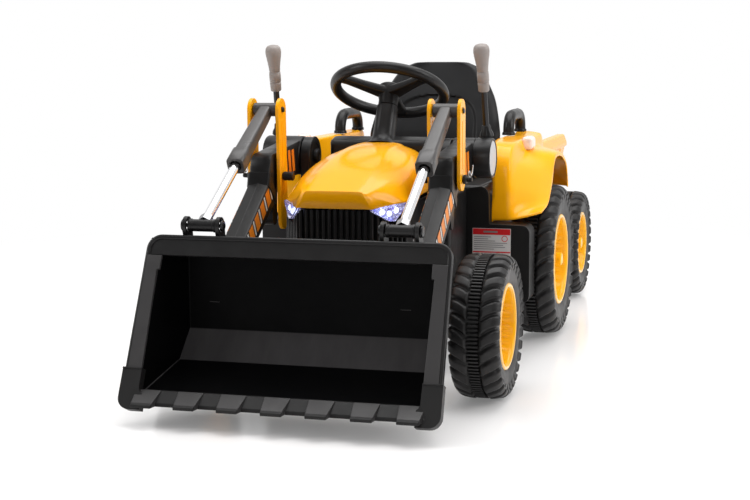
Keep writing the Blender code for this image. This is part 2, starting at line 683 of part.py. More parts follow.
def make_cylinder(name, side):
    """Barrel with its cross tube, and rod with its T foot and pin."""
    barrel = rod(f"cylinder_barrel_{name}", cylinder_point(0), cylinder_point(0.185), 0.0125, 0.0138, 12)
    tube = cross_rod("tube", 0.1470, 0.1922, CYLINDER_TOP, 0.0120)
    collar = rod("collar", cylinder_point(0.150), cylinder_point(0.188), 0.0152, segments=16)
    barrel = joined(barrel, tube, collar)
    rod_bore = rod("rod_bore", cylinder_point(0.048), cylinder_point(0.20), 0.0095)
    barrel = cut(barrel, rod_bore, cross_rod("pin_bore", 0.14, 0.20, CYLINDER_TOP, 0.0056, 12))
    place(flip_to(barrel, side), f"cylinder_swing_{name}", PLASTIC)
    reach = (Vector(CYLINDER_FOOT) - Vector(CYLINDER_TOP)).length
    shaft = rod(f"cylinder_rod_{name}", cylinder_point(0.085), cylinder_point(reach), 0.0083)
    foot = cross_rod("foot", 0.1450, 0.1940, CYLINDER_FOOT, 0.0115)
    pin = cross_rod("pin", 0.1330, 0.2060, CYLINDER_FOOT, 0.0035, 12)
    heads = [cross_rod("head", x, x + 0.004, CYLINDER_FOOT, 0.0105) for x in (0.1325, 0.2025)]
    shaft = joined(shaft, foot, pin, *heads)
    place(flip_to(shaft, side), f"cylinder_slide_{name}", CHROMED)


def make_bucket_shell():
    """A sheet folded from back, floor and sides, with ears for the cylinders and lugs for the arms."""
    (ty, tz, tw), (by, bz, bw) = BUCKET_TOP, BUCKET_BACK_TOP
    (cy, cz, cw), (fy, fz, fw), (ly, lz, lw) = BUCKET_BACK_LOW, BUCKET_FLOOR_BACK, BUCKET_LIP
    share = (tz - cz) / (tz - lz)
    my, mz, mw = (ty + (ly - ty) * share, cz, tw + (lw - tw) * share)
    outline = [(ty, tz, tw), (by, bz, bw), (cy, cz, cw), (fy, fz, fw), (ly, lz, lw), (my, mz, mw)]
    points = [(-w, y, z) for y, z, w in outline] + [(w, y, z) for y, z, w in outline]
    faces = [(i, i + 1, i + 7, i + 6) for i in range(4)]
    faces += [(0, 5, 2, 1), (5, 4, 3, 2), (6, 7, 8, 11), (11, 8, 9, 10)]
    mesh = bpy.data.meshes.new("bucket_shell")
    mesh.from_pydata(points, [], faces)
    shell = bpy.data.objects.new("bucket_shell", mesh)
    PART.objects.link(shell)
    shell = evaluated_mesh(thicken(shell, BUCKET_WALL, -1))
    extras = [box("top_band", (-tw, ty - 0.004, tz - 0.034), (tw, ty + 0.004, tz + 0.001))]
    for side in SIDES.values():
        for x in (0.1372, 0.1951):
            ear = link_outline(CYLINDER_FOOT, (-0.800, 0.279), 0.0150, 0.0120)
            rings = [ear, ring_points(CYLINDER_FOOT, 0.0098)]
            extras.append(side_outline("ear", rings, side * x, side * (x + 0.0066)))
        for x in (0.1412, 0.1915):
            lug = arc(BUCKET_PIVOT, 0.0150, -80, 80, 7) + [(-0.7665, 0.225), (-0.7665, 0.140)]
            rings = [lug, ring_points(BUCKET_PIVOT, 0.0056, 12)]
            extras.append(side_outline("lug", rings, side * x, side * (x + 0.0065)))
    place(joined(shell, *extras), "bucket_pivot", PLASTIC, smooth=False)


def make_bucket_lip():
    """The wear edge along the mouth: a wedge bar, seven teeth and two corner caps."""
    ly, lz, lw = BUCKET_LIP
    wedge = [(ly - 0.001, lz - 0.008), (ly - 0.001, lz + 0.006)]
    wedge += [(ly - 0.012, lz + 0.001), (ly - 0.020, lz - 0.010)]
    lip = side_outline("bucket_lip", [wedge], -lw + 0.002, lw - 0.002)
    extras = []
    for i in range(7):
        x = (i - 3) * 0.076
        rows = []
        root, tip = (ly - 0.004, 0.030, lz + 0.007, lz - 0.010), (ly - 0.030, 0.020, lz - 0.007, lz - 0.0125)
        for y, half, top, low in (root, tip):
            rows.append([(x - half, y, low), (x + half, y, low), (x + half, y, top), (x - half, y, top)])
        extras.append(loft("tooth", rows))
    for side in SIDES.values():
        low_x, high_x = sorted((side * (lw - 0.013), side * (lw + 0.006)))
        extras.append(box("cap", (low_x, ly - 0.028, lz - 0.0135), (high_x, ly - 0.0055, lz + 0.040)))
    place(joined(lip, *extras), "bucket_pivot", PLASTIC, smooth=False)


def make_bucket_pin(name, side):
    pin = cross_rod(f"bucket_pivot_pin_{name}", 0.1395, 0.2000, BUCKET_PIVOT, 0.0048, 12)
    place(flip_to(pin, side), "bucket_pivot", STEEL_GREY)


# ---------------------------------------------------------------- trailer
def make_trailer_frame():
    """Drawbar with its eye, bed supports, axle brackets and the axle itself."""
    eye = link_outline((0, HITCH_Y), (0, 0.345), 0.016, 0.016)
    drawbar = plan_outline("trailer_frame", [eye, ring_points((0, HITCH_Y), 0.0075)], 0.1855, 0.2035)
    solids = [
        box("spine", (-0.016, 0.240, 0.1855), (0.016, TRAILER_Y, 0.2035)),
        box("post", (-0.016, 0.330, 0.1900), (0.016, 0.352, 0.2560)),
        box("bed", (-0.165, 0.325, 0.2500), (0.165, 0.700, 0.2640)),
        box("rear_post", (-0.016, TRAILER_Y - 0.012, 0.1900), (0.016, TRAILER_Y + 0.012, 0.2560)),
    ]
    for side in SIDES.values():
        low_x, high_x = sorted((side * 0.155, side * 0.165))
        leg = box("leg", (low_x, TRAILER_Y - 0.018, 0.110), (high_x, TRAILER_Y + 0.018, 0.2560))
        solids.append(leg)
    solids.append(cross_rod("axle", -0.272, 0.272, (TRAILER_Y, FRONT_R), AXLE_R))
    place(joined(drawbar, *solids), "hitch", PLASTIC, smooth=False)


def tub_section(z, half, front, rear):
    return [(-half, front, z), (half, front, z), (half, rear, z), (-half, rear, z)]


def make_trailer_tub():
    """An open tray: flared sides with a broad rail on top, a low front wall, and an open rear for the tailgate."""
    outer = loft("trailer_tub", [
        tub_section(TUB_LOW_Z, TUB_LOW_X, TUB_FRONT_Y + 0.020, TUB_REAR_Y),
        tub_section(TUB_TOP_Z, TUB_TOP_X, TUB_FRONT_Y, TUB_REAR_Y),
    ])
    inner = loft("tub_hollow", [
        tub_section(TUB_LOW_Z + TUB_WALL, TUB_LOW_X - TUB_WALL, TUB_FRONT_Y + 0.024, TUB_REAR_Y + 0.02),
        tub_section(TUB_TOP_Z + 0.02, TUB_TOP_X - 0.001, TUB_FRONT_Y + 0.003, TUB_REAR_Y + 0.02),
    ])
    notch = box("notch", (-TUB_RAIL_X, TUB_FRONT_Y - 0.01, TUB_END_Z), (TUB_RAIL_X, TUB_FRONT_Y + 0.03, 0.42))
    tub = cut(outer, inner, notch)
    rails = []
    for side in SIDES.values():
        low_x, high_x = sorted((side * TUB_RAIL_X, side * (TUB_TOP_X - 0.002)))
        rails.append(box("rail", (low_x, TUB_FRONT_Y, TUB_TOP_Z - 0.006), (high_x, TUB_REAR_Y, TUB_TOP_Z)))
    place(joined(tub, *rails), "hitch", YELLOW_GLOSS, smooth=False)


def make_tailgate():
    front, rear, low_z = TUB_REAR_Y + 0.001, TUB_REAR_Y + 0.007, 0.2700
    rows = []
    for half, z in ((0.1815, low_z), (0.195, TUB_END_Z)):
        rows.append([(-half, front, z), (half, front, z), (half, rear, z), (-half, rear, z)])
    place(loft("trailer_tailgate", rows), "tailgate_hinge", YELLOW_GLOSS, smooth=False)


# ---------------------------------------------------------------- assembly
def make_pivots():
    make_pivot("vehicle", (0, VEHICLE_Y, 0))
    make_pivot("steering_column_axis", WHEEL_CENTRE)
    make_pivot("tie_rod_slide", (0, TIE_ROD_Y, 0.1315))
    make_pivot("pedal_hinge", (-0.171, -0.385, 0.117))
    make_pivot("hitch", (0, HITCH_Y, 0.1855))
    make_pivot("tailgate_hinge", (0, TUB_REAR_Y + 0.004, 0.2700), "hitch")
    make_pivot("boom_pivot", (0, *BOOM_PIVOT))
    make_pivot("bucket_pivot", (0, *BUCKET_PIVOT), "boom_pivot")
    for name, side in SIDES.items():
        make_pivot(f"{name}_kingpin", (side * KINGPIN_X, FRONT_Y, FRONT_R))
        make_pivot(f"cylinder_swing_{name}", (side * 0.1695, *CYLINDER_TOP), "boom_pivot")
        make_pivot(f"cylinder_slide_{name}", (side * 0.1695, *CYLINDER_FOOT), f"cylinder_swing_{name}")
        parents = {"front": f"{name}_kingpin", "rear": "vehicle", "trailer": "hitch"}
        for axle, (y, radius, middle_x, _) in WHEELS.items():
            make_pivot(f"{axle}_wheel_{name}", (side * middle_x, y, radius), parents[axle])


clear_scene()
PART = make_collection("ride_on_digger")
PLASTIC = make_material("black_plastic", BLACK_SATIN, 0.42)
TYRE_BLACK = make_material("tyre_black", BLACK, 0.50)
YELLOW_GLOSS = make_material("yellow_gloss", YELLOW, 0.22)
GRIP = make_material("grey_grip", GREY_GRIP, 0.55)
STEEL_GREY = make_material("steel", STEEL, 0.35, 1.0)
CHROMED = make_material("chrome", CHROME, 0.08, 1.0)
CLEAR = make_material("clear_lens", (0.9, 0.92, 1.0), 0.05, 0.0, 0.35)

make_pivots()
make_lower_body()
make_hood()
make_steering_cowl()
make_seat()
make_front_axle_beam()
make_tie_rod()
make_steering_shaft()
make_steering_wheel()
make_drivetrain()
make_pedal()
make_bucket_shell()
make_bucket_lip()
make_trailer_frame()
make_trailer_tub()
make_tailgate()
for build in (
    make_headlight, make_fender, make_grab_handle, make_knuckle, make_boom_arm, make_boom_pin,
    make_lever, make_link_plates, make_link_pins, make_cylinder, make_bucket_pin,
):
    mirrored_pair(build)
for axle_name in WHEELS:
    for side_name, side_sign in SIDES.items():
        make_wheel(axle_name, side_name, side_sign)
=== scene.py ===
"""Looks of the ride-on digger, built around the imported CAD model. Metres, +Z up, the front faces -Y."""

import json
import math

import bmesh
import bpy
import numpy as np
from mathutils import Matrix, Vector


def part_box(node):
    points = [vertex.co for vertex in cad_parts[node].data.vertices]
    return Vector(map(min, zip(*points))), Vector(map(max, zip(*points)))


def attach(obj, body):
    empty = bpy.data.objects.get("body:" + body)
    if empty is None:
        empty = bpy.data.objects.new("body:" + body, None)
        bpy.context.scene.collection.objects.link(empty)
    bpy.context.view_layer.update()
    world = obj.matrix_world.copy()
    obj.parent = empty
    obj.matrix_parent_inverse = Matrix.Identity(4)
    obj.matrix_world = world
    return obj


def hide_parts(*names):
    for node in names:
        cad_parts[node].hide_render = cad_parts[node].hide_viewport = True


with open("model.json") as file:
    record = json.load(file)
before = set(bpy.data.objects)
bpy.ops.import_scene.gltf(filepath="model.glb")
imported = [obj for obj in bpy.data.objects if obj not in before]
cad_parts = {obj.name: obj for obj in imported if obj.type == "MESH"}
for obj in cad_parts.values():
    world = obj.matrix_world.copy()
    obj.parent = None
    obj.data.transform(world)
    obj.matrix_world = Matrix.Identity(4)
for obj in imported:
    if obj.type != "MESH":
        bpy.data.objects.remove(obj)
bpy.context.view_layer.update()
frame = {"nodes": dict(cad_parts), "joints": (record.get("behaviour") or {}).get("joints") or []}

SIDES = {"left": 1, "right": -1}


def middle(node):
    low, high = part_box(node)
    return (low + high) / 2


# The pieces are built in the vehicle's frame, whose origin is on the floor under the rear axle.
ORIGIN = Vector((0, middle("rear_axle").y, 0))
WELD = 1e-6  # vertices closer than this are one


# ---------------------------------------------------------------- meshes
def placed(name, mesh):
    obj = bpy.data.objects.new(name, mesh)
    bpy.context.scene.collection.objects.link(obj)
    obj.location = ORIGIN
    return obj


def new_object(name, points, faces):
    mesh = bpy.data.meshes.new(name)
    mesh.from_pydata([tuple(p) for p in points], [], faces)
    mesh.validate()
    return placed(name, mesh)


def from_builder(name, builder, weld=0.0):
    if weld:
        bmesh.ops.remove_doubles(builder, verts=builder.verts, dist=weld)
    bmesh.ops.recalc_face_normals(builder, faces=builder.faces)
    mesh = bpy.data.meshes.new(name)
    builder.to_mesh(mesh)
    builder.free()
    return placed(name, mesh)


def edit(obj, change):
    """Runs change(builder) on the object's mesh."""
    builder = bmesh.new()
    builder.from_mesh(obj.data)
    change(builder)
    bmesh.ops.recalc_face_normals(builder, faces=builder.faces)
    builder.to_mesh(obj.data)
    builder.free()
    return obj


def grid(name, points, wrap_rows=False, wrap_columns=False):
    """A surface through an array of rows x columns x 3 points."""
    rows, columns = points.shape[:2]
    faces = []
    for i in range(rows if wrap_rows else rows - 1):
        for j in range(columns if wrap_columns else columns - 1):
            down, right = (i + 1) % rows, (j + 1) % columns
            faces.append((i * columns + j, i * columns + right, down * columns + right, down * columns + j))
    obj = new_object(name, points.reshape(-1, 3), faces)
    return edit(obj, lambda b: bmesh.ops.remove_doubles(b, verts=b.verts, dist=WELD))


def smooth_line(controls, steps):
    """Catmull-Rom points through the controls, which are rows of numbers."""
    controls = np.array(controls, float)
    padded = np.vstack([2 * controls[0] - controls[1], controls, 2 * controls[-1] - controls[-2]])
    line = []
    for i in range(len(controls) - 1):
        a, b, c, d = padded[i:i + 4]
        for t in np.linspace(0, 1, steps, endpoint=False):
            bend = (2 * a - 5 * b + 4 * c - d) * t**2 + (3 * b - a - 3 * c + d) * t**3
            line.append(0.5 * (2 * b + (c - a) * t + bend))
    line.append(controls[-1])
    return np.array(line)


def smoothstep(low, high, value):
    t = np.clip((value - low) / (high - low), 0, 1)
    return t * t * (3 - 2 * t)


def arc(centre, radius, start_deg, end_deg, count):
    angles = np.radians(np.linspace(start_deg, end_deg, count))
    return [(centre[0] + radius * math.cos(a), centre[1] + radius * math.sin(a)) for a in angles]


def circle(centre, radius, count=24):
    return arc(centre, radius, 0, 360 * (count - 1) / count, count)


def link_outline(first, second, first_r, second_r, count=13):
    """A straight link with a round end on each of two centres."""
    heading = math.degrees(math.atan2(second[1] - first[1], second[0] - first[0]))
    ends = arc(second, second_r, heading - 90, heading + 90, count)
    return ends + arc(first, first_r, heading + 90, heading + 270, count)


def rounded_rect(half_u, half_v, radius, count=5):
    """A closed ring of (u, v) points."""
    ring = []
    for su, sv, start in ((1, 1, 0), (-1, 1, 90), (-1, -1, 180), (1, -1, 270)):
        ring += arc((su * (half_u - radius), sv * (half_v - radius)), radius, start, start + 90, count)
    return ring


def add_spline(curve, points, cyclic):
    spline = curve.splines.new("POLY")
    spline.points.add(len(points) - 1)
    for point, where in zip(spline.points, points):
        point.co = (*where, 1)
    spline.use_cyclic_u = cyclic


def curve_builder(curve):
    """The curve's surface as a bmesh."""
    source = bpy.data.objects.new(curve.name, curve)
    bpy.context.scene.collection.objects.link(source)
    bpy.context.view_layer.update()
    mesh = bpy.data.meshes.new_from_object(source.evaluated_get(bpy.context.evaluated_depsgraph_get()))
    bpy.data.objects.remove(source)
    builder = bmesh.new()
    builder.from_mesh(mesh)
    return builder


def plate(name, rings, thickness, matrix):
    """Closed (u, v) rings, the first the outside and the others holes, as a solid centred on w = 0."""
    curve = bpy.data.curves.new(name, "CURVE")
    curve.dimensions = "2D"
    curve.fill_mode = "BOTH"
    curve.extrude = thickness / 2
    for ring in rings:
        add_spline(curve, [(u, v, 0) for u, v in ring], True)
    builder = curve_builder(curve)
    bmesh.ops.transform(builder, matrix=matrix, verts=builder.verts)
    return from_builder(name, builder, WELD)


def side_plate(name, rings, x0, x1):
    """A plate whose rings are (Y, Z) points, between two X planes."""
    turn = Matrix(((0, 0, 1, (x0 + x1) / 2), (1, 0, 0, 0), (0, 1, 0, 0), (0, 0, 0, 1)))
    return plate(name, rings, abs(x1 - x0), turn)


def plan_plate(name, rings, z0, z1):
    return plate(name, rings, abs(z1 - z0), Matrix.Translation((0, 0, (z0 + z1) / 2)))


def box(name, low, high):
    low, high = Vector(low), Vector(high)
    builder = bmesh.new()
    matrix = Matrix.Translation((low + high) / 2) @ Matrix.Diagonal((*(high - low), 1.0))
    bmesh.ops.create_cube(builder, size=1.0, matrix=matrix)
    return from_builder(name, builder)


def side_box(name, side, low, high):
    """A box given for the left side, mirrored to the right."""
    x0, x1 = sorted((side * low[0], side * high[0]))
    return box(name, (x0, *low[1:]), (x1, *high[1:]))


def loft(name, sections, caps=True):
    """Closed rings of equal length, joined in order."""
    count = len(sections[0])
    points = [p for section in sections for p in section]
    faces = []
    for row in range(len(sections) - 1):
        for i in range(count):
            j = (i + 1) % count
            low, high = row * count, (row + 1) * count
            faces.append((low + i, low + j, high + j, high + i))
    if caps:
        faces.append(tuple(range(count)))
        faces.append(tuple((len(sections) - 1) * count + i for i in range(count)))
    return edit(new_object(name, points, faces), lambda b: None)


def axis_frame(start, end, up=(0, 0, 1)):
    """A matrix whose Z runs from start to end and whose Y is near up."""
    z = (Vector(end) - Vector(start)).normalized()
    x = Vector(up).cross(z).normalized()
    y = z.cross(x)
    return Matrix(((x.x, y.x, z.x, start[0]), (x.y, y.y, z.y, start[1]), (x.z, y.z, z.z, start[2]),
                   (0, 0, 0, 1)))


def lathe(name, profile, matrix, steps=48, closed=False):
    """(radius, height) points turned about the matrix's Z axis."""
    angles = np.linspace(0, 2 * math.pi, steps, endpoint=False)
    profile = np.array(profile, float)
    radius, height = profile[:, 0][:, None], profile[:, 1][:, None]
    rows = np.stack([radius * np.cos(angles), radius * np.sin(angles), height + 0 * angles], axis=-1)
    obj = grid(name, rows, wrap_rows=closed, wrap_columns=True)
    obj.data.transform(matrix)
    return edit(obj, lambda b: None)


def across(x, centre, side=1):
    """A lathe frame at (x, Y, Z) whose Z points outboard."""
    return axis_frame((side * x, *centre), (side * (x + 1), *centre))


def tube(name, points, radius, resolution=6, cyclic=False):
    curve = bpy.data.curves.new(name, "CURVE")
    curve.dimensions = "3D"
    curve.bevel_depth = radius
    curve.bevel_resolution = resolution
    curve.use_fill_caps = True
    add_spline(curve, points, cyclic)
    return from_builder(name, curve_builder(curve), WELD)


def merge(name, *objects):
    """One object from several. Their shells stay separate inside it."""
    builder = bmesh.new()
    for obj in objects:
        builder.from_mesh(obj.data)
        bpy.data.objects.remove(obj)
    return from_builder(name, builder)


def mirror_x(obj):
    return edit(obj, lambda b: bmesh.ops.scale(b, vec=(-1, 1, 1), verts=b.verts))


def for_side(obj, side):
    return obj if side > 0 else mirror_x(obj)


# ---------------------------------------------------------------- modifiers
def bevel(obj, width, segments=3, angle=32):
    modifier = obj.modifiers.new("edges", "BEVEL")
    modifier.width = width
    modifier.segments = segments
    modifier.limit_method = "ANGLE"
    modifier.angle_limit = math.radians(angle)
    modifier.use_clamp_overlap = True
    normals = obj.modifiers.new("normals", "WEIGHTED_NORMAL")
    normals.keep_sharp = False
    normals.weight = 80
    return obj


def thicken(obj, thickness, offset=-1.0):
    modifier = obj.modifiers.new("wall", "SOLIDIFY")
    modifier.thickness = thickness
    modifier.offset = offset
    return obj


def smooth(obj, angle=None):
    obj.data.shade_smooth()
    if angle:
        obj.data.set_sharp_from_angle(angle=math.radians(angle))
    return obj


def show(obj, body, material, replaces=""):
    """Hands a finished piece to the frame."""
    obj.data.materials.clear()
    obj.data.materials.append(material)
    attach(obj, body)
    if replaces:
        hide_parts(replaces)


def rounded(obj, body, material, replaces="", side=1, angle=None):
    """Shows a piece shaded smooth, given for the left side."""
    show(smooth(for_side(obj, side), angle), body, material, replaces)


def eased(obj, width, body, material, replaces="", side=1, segments=3, angle=32):
    """Shows a piece with eased edges, given for the left side."""
    show(bevel(smooth(for_side(obj, side)), width, segments, angle), body, material, replaces)


def turned(name, profile, matrix, steps, body, material, replaces="", side=1, angle=None):
    """Shows a lathed piece, given for the left side."""
    rounded(lathe(name, profile, matrix, steps), body, material, replaces, side, angle)


# ---------------------------------------------------------------- materials
def shader_nodes(name):
    material = bpy.data.materials.new(name)
    material.use_nodes = True
    tree = material.node_tree
    coords = tree.nodes.new("ShaderNodeTexCoord")
    return material, tree, tree.nodes["Principled BSDF"], coords.outputs["Object"]


def math_node(tree, operation, *values):
    """A math node. Each value is a socket to link or a number."""
    node = tree.nodes.new("ShaderNodeMath")
    node.operation = operation
    for slot, value in zip(node.inputs, values):
        if isinstance(value, bpy.types.NodeSocket):
            tree.links.new(value, slot)
        else:
            slot.default_value = value
    return node.outputs[0]


def noise(tree, coords, scale, detail=3.0, rough=0.5, stretch=None):
    if stretch:
        mapping = tree.nodes.new("ShaderNodeMapping")
        mapping.inputs["Scale"].default_value = stretch
        tree.links.new(coords, mapping.inputs["Vector"])
        coords = mapping.outputs["Vector"]
    texture = tree.nodes.new("ShaderNodeTexNoise")
    texture.inputs["Scale"].default_value = scale
    texture.inputs["Detail"].default_value = detail
    texture.inputs["Roughness"].default_value = rough
    tree.links.new(coords, texture.inputs["Vector"])
    return texture.outputs["Fac"]


def ranged(tree, value, low, high, from_low=0.3, from_high=0.7):
    node = tree.nodes.new("ShaderNodeMapRange")
    node.inputs["From Min"].default_value = from_low
    node.inputs["From Max"].default_value = from_high
    node.inputs["To Min"].default_value = low
    node.inputs["To Max"].default_value = high
    tree.links.new(value, node.inputs["Value"])
    return node.outputs["Result"]


def mixed(tree, factor, first, second):
    node = tree.nodes.new("ShaderNodeMix")
    node.data_type = "RGBA"
    tree.links.new(factor, node.inputs["Factor"])
    node.inputs["A"].default_value = (*first, 1)
    node.inputs["B"].default_value = (*second, 1)
    return node.outputs["Result"]


def bumped(tree, shader, height, strength, distance, after=None):
    node = tree.nodes.new("ShaderNodeBump")
    node.inputs["Strength"].default_value = strength
    node.inputs["Distance"].default_value = distance
    tree.links.new(height, node.inputs["Height"])
    if after:
        tree.links.new(after, node.inputs["Normal"])
    tree.links.new(node.outputs["Normal"], shader.inputs["Normal"])
    return node.outputs["Normal"]


def moulded(name, light, dark, rough_low, rough_high, grain=900.0, depth=0.00006, coat=0.0, wave=0.0,
            shine=0.4):
    """Moulded plastic: faint colour drift, uneven gloss, fine grain and, in big panels, slow waviness."""
    material, tree, shader, coords = shader_nodes(name)
    drift = noise(tree, coords, 7.0, 4.0)
    tree.links.new(mixed(tree, ranged(tree, drift, 0, 1), dark, light), shader.inputs["Base Color"])
    patches = noise(tree, coords, 38.0, 5.0, 0.6)
    tree.links.new(ranged(tree, patches, rough_low, rough_high), shader.inputs["Roughness"])
    fine = bumped(tree, shader, noise(tree, coords, grain, 2.0), 0.35, depth)
    if wave:
        bumped(tree, shader, noise(tree, coords, 14.0, 1.0), 0.5, wave, fine)
    shader.inputs["Coat Weight"].default_value = coat
    shader.inputs["Coat Roughness"].default_value = 0.06
    shader.inputs["Specular IOR Level"].default_value = shine
    return material


def glowing(material, colour=(0.78, 0.84, 1.0), strength=3.0):
    shader = material.node_tree.nodes["Principled BSDF"]
    shader.inputs["Emission Color"].default_value = (*colour, 1)
    shader.inputs["Emission Strength"].default_value = strength
    return material


def bucket_skin():
    """Black moulding with painted shade and a painted highlight: a base far darker than the other black
    plastic stands in for the shade inside the bucket, and faces that slope up are painted a lighter grey
    where light falls on them.
    """
    # Base colours far below the other black plastic: painted shade for the inside of the bucket.
    material = moulded("bucket_plastic", (0.0022, 0.0021, 0.0023), (0.0014, 0.0014, 0.0016), 0.34, 0.46,
                       520.0, 0.00012, shine=0.05)
    tree, shader = material.node_tree, material.node_tree.nodes["Principled BSDF"]
    face = tree.nodes.new("ShaderNodeNewGeometry")
    split = tree.nodes.new("ShaderNodeSeparateXYZ")
    tree.links.new(face.outputs["Normal"], split.inputs[0])
    # Mask of sloped faces (normal Z between about 0.3 and 0.87), which get a painted highlight.
    steep = ranged(tree, split.outputs["Z"], 0, 1, 0.2, 0.4)
    slope = math_node(tree, "MULTIPLY", steep, ranged(tree, split.outputs["Z"], 1, 0, 0.82, 0.92))
    blend = tree.nodes.new("ShaderNodeMix")
    blend.data_type = "RGBA"
    tree.links.new(slope, blend.inputs["Factor"])
    tree.links.new(shader.inputs["Base Color"].links[0].from_socket, blend.inputs["A"])
    coords = next(n for n in tree.nodes if n.type == "TEX_COORD").outputs["Object"]
    # Lighter greys of the painted highlight on the sloped faces, varied at random.
    sheen_noise = noise(tree, coords, 26.0, 5.0, 0.6, (1.0, 0.3, 0.3))
    tree.links.new(mixed(tree, ranged(tree, sheen_noise, 0, 1), (0.04, 0.038, 0.039), (0.056, 0.053, 0.054)),
                   blend.inputs["B"])
    tree.links.new(blend.outputs["Result"], shader.inputs["Base Color"])
    return material


def metal(name, colour, rough_low, rough_high, stretch=(1, 1, 1), scale=300.0):
    """Bar stock: drawn or polished, with streaks along the stretched axes."""
    material, tree, shader, coords = shader_nodes(name)
    streaks = noise(tree, coords, scale, 4.0, 0.65, stretch)
    tree.links.new(ranged(tree, streaks, rough_low, rough_high), shader.inputs["Roughness"])
    darker = tuple(c * 0.85 for c in colour)
    tree.links.new(mixed(tree, ranged(tree, streaks, 0, 1), darker, colour), shader.inputs["Base Color"])
    bumped(tree, shader, streaks, 0.2, 0.00003)
    shader.inputs["Metallic"].default_value = 1.0
    return material


def clear_plastic():
    material, tree, shader, coords = shader_nodes("clear_plastic")
    tint = mixed(tree, ranged(tree, noise(tree, coords, 60.0), 0, 1), (0.7, 0.72, 1.0), (0.93, 0.94, 1.0))
    tree.links.new(tint, shader.inputs["Base Color"])
    tree.links.new(ranged(tree, noise(tree, coords, 200.0), 0.02, 0.08), shader.inputs["Roughness"])
    shader.inputs["Transmission Weight"].default_value = 0.9
    shader.inputs["IOR"].default_value = 1.45
    return material


def lamp_reflector():
    """Faceted mirror film with a blue-violet LED glow in its cells."""
    material, tree, shader, coords = shader_nodes("lamp_reflector")
    cells = tree.nodes.new("ShaderNodeTexVoronoi")
    cells.inputs["Scale"].default_value = 210.0
    tree.links.new(coords, cells.inputs["Vector"])
    glow = mixed(tree, ranged(tree, cells.outputs["Distance"], 0, 1, 0.1, 0.8), (0.85, 0.88, 1.0),
                 (0.1, 0.09, 0.42))
    tree.links.new(glow, shader.inputs["Base Color"])
    tree.links.new(glow, shader.inputs["Emission Color"])
    shader.inputs["Emission Strength"].default_value = 0.35
    shader.inputs["Metallic"].default_value = 0.85
    shader.inputs["Roughness"].default_value = 0.18
    bumped(tree, shader, cells.outputs["Distance"], 0.9, 0.0015)
    return material


def stripes(name, colours, direction, pitch, rough=0.35):
    """A printed film: (start, colour) bands repeated across a direction, with a faint print grain."""
    material, tree, shader, coords = shader_nodes(name)
    dot = tree.nodes.new("ShaderNodeVectorMath")
    dot.operation = "DOT_PRODUCT"
    dot.inputs[1].default_value = direction
    tree.links.new(coords, dot.inputs[0])
    scaled = math_node(tree, "DIVIDE", dot.outputs["Value"], pitch)
    wobble = math_node(tree, "MULTIPLY_ADD", noise(tree, coords, 400.0), 0.03, scaled)
    ramp = tree.nodes.new("ShaderNodeValToRGB")
    ramp.color_ramp.interpolation = "CONSTANT"
    elements = ramp.color_ramp.elements
    elements[0].position, elements[0].color = colours[0][0], (*colours[0][1], 1)
    elements[1].position, elements[1].color = colours[1][0], (*colours[1][1], 1)
    for position, colour in colours[2:]:
        elements.new(position).color = (*colour, 1)
    tree.links.new(math_node(tree, "FRACT", wobble), ramp.inputs["Fac"])
    tree.links.new(ramp.outputs["Color"], shader.inputs["Base Color"])
    tree.links.new(ranged(tree, noise(tree, coords, 90.0), rough - 0.06, rough + 0.08),
                   shader.inputs["Roughness"])
    return material


BLACK_LIGHT, BLACK_DARK = (0.011, 0.0102, 0.0102), (0.0068, 0.0065, 0.0068)
ORANGE, WHITE = (0.86, 0.24, 0.012), (0.78, 0.76, 0.74)

BLACK = moulded("black_plastic", BLACK_LIGHT, BLACK_DARK, 0.28, 0.4, wave=0.0006, shine=0.28)
BLACK_GRAIN = moulded("black_grained_plastic", BLACK_LIGHT, BLACK_DARK, 0.4, 0.52, 520.0, 0.00018,
                      shine=0.28)
DARK_GREY = moulded("dark_grey_plastic", (0.06, 0.056, 0.055), (0.042, 0.039, 0.0385), 0.26, 0.36)
TYRE = moulded("tyre_plastic", (0.015, 0.014, 0.014), (0.0085, 0.008, 0.0082), 0.36, 0.52, 640.0, 0.00016,
               shine=0.3)
YELLOW = moulded("yellow_plastic", (0.98, 0.425, 0.002), (0.96, 0.405, 0.002), 0.19, 0.23, 1400.0, 0.00001,
                 0.12, 0.0002, 0.2)
YELLOW_RIM = moulded("yellow_rim", (0.92, 0.49, 0.012), (0.9, 0.465, 0.01), 0.19, 0.23, 1400.0, 0.00001,
                     0.12, shine=0.2)
# Paler yellow for the rim's lip: a painted highlight where the lip catches the light.
YELLOW_LIP_HIGHLIGHT = moulded("yellow_rim_lip", (0.95, 0.56, 0.13), (0.93, 0.5, 0.09), 0.16, 0.24, 1400.0, 0.00002,
                      0.3)
BUCKET_BLACK = bucket_skin()
# Lighter black for a painted highlight on faces that catch the light: the mouth's side strips, the teeth and
# the slot marks.
BLACK_PAINTED_HIGHLIGHT = moulded("black_plastic_painted_highlight", (0.034, 0.032, 0.0325), (0.024, 0.0225, 0.023), 0.36, 0.5, 520.0,
                     0.00018)
SEAT_BLACK = moulded("seat_plastic", (0.011, 0.011, 0.0118), (0.0075, 0.0075, 0.0082), 0.36, 0.5, 700.0,
                     0.0001, shine=0.22)
LED = glowing(moulded("lamp_led", (0.8, 0.82, 1.0), (0.62, 0.64, 0.98), 0.05, 0.15, 300.0, 0.0002, 0.5))
GRIP = moulded("grip_plastic", (0.3, 0.265, 0.245), (0.24, 0.205, 0.19), 0.38, 0.52, 800.0, 0.00012)
DISC_GREY = moulded("light_grey_disc", (0.5, 0.5, 0.51), (0.43, 0.43, 0.44), 0.3, 0.42)
LABEL = moulded("label_paper", (0.66, 0.64, 0.63), (0.6, 0.58, 0.57), 0.35, 0.5, 1200.0, 0.00003)
LABEL_RED = moulded("label_red", (0.62, 0.012, 0.016), (0.56, 0.01, 0.014), 0.3, 0.42, 1200.0, 0.00003)
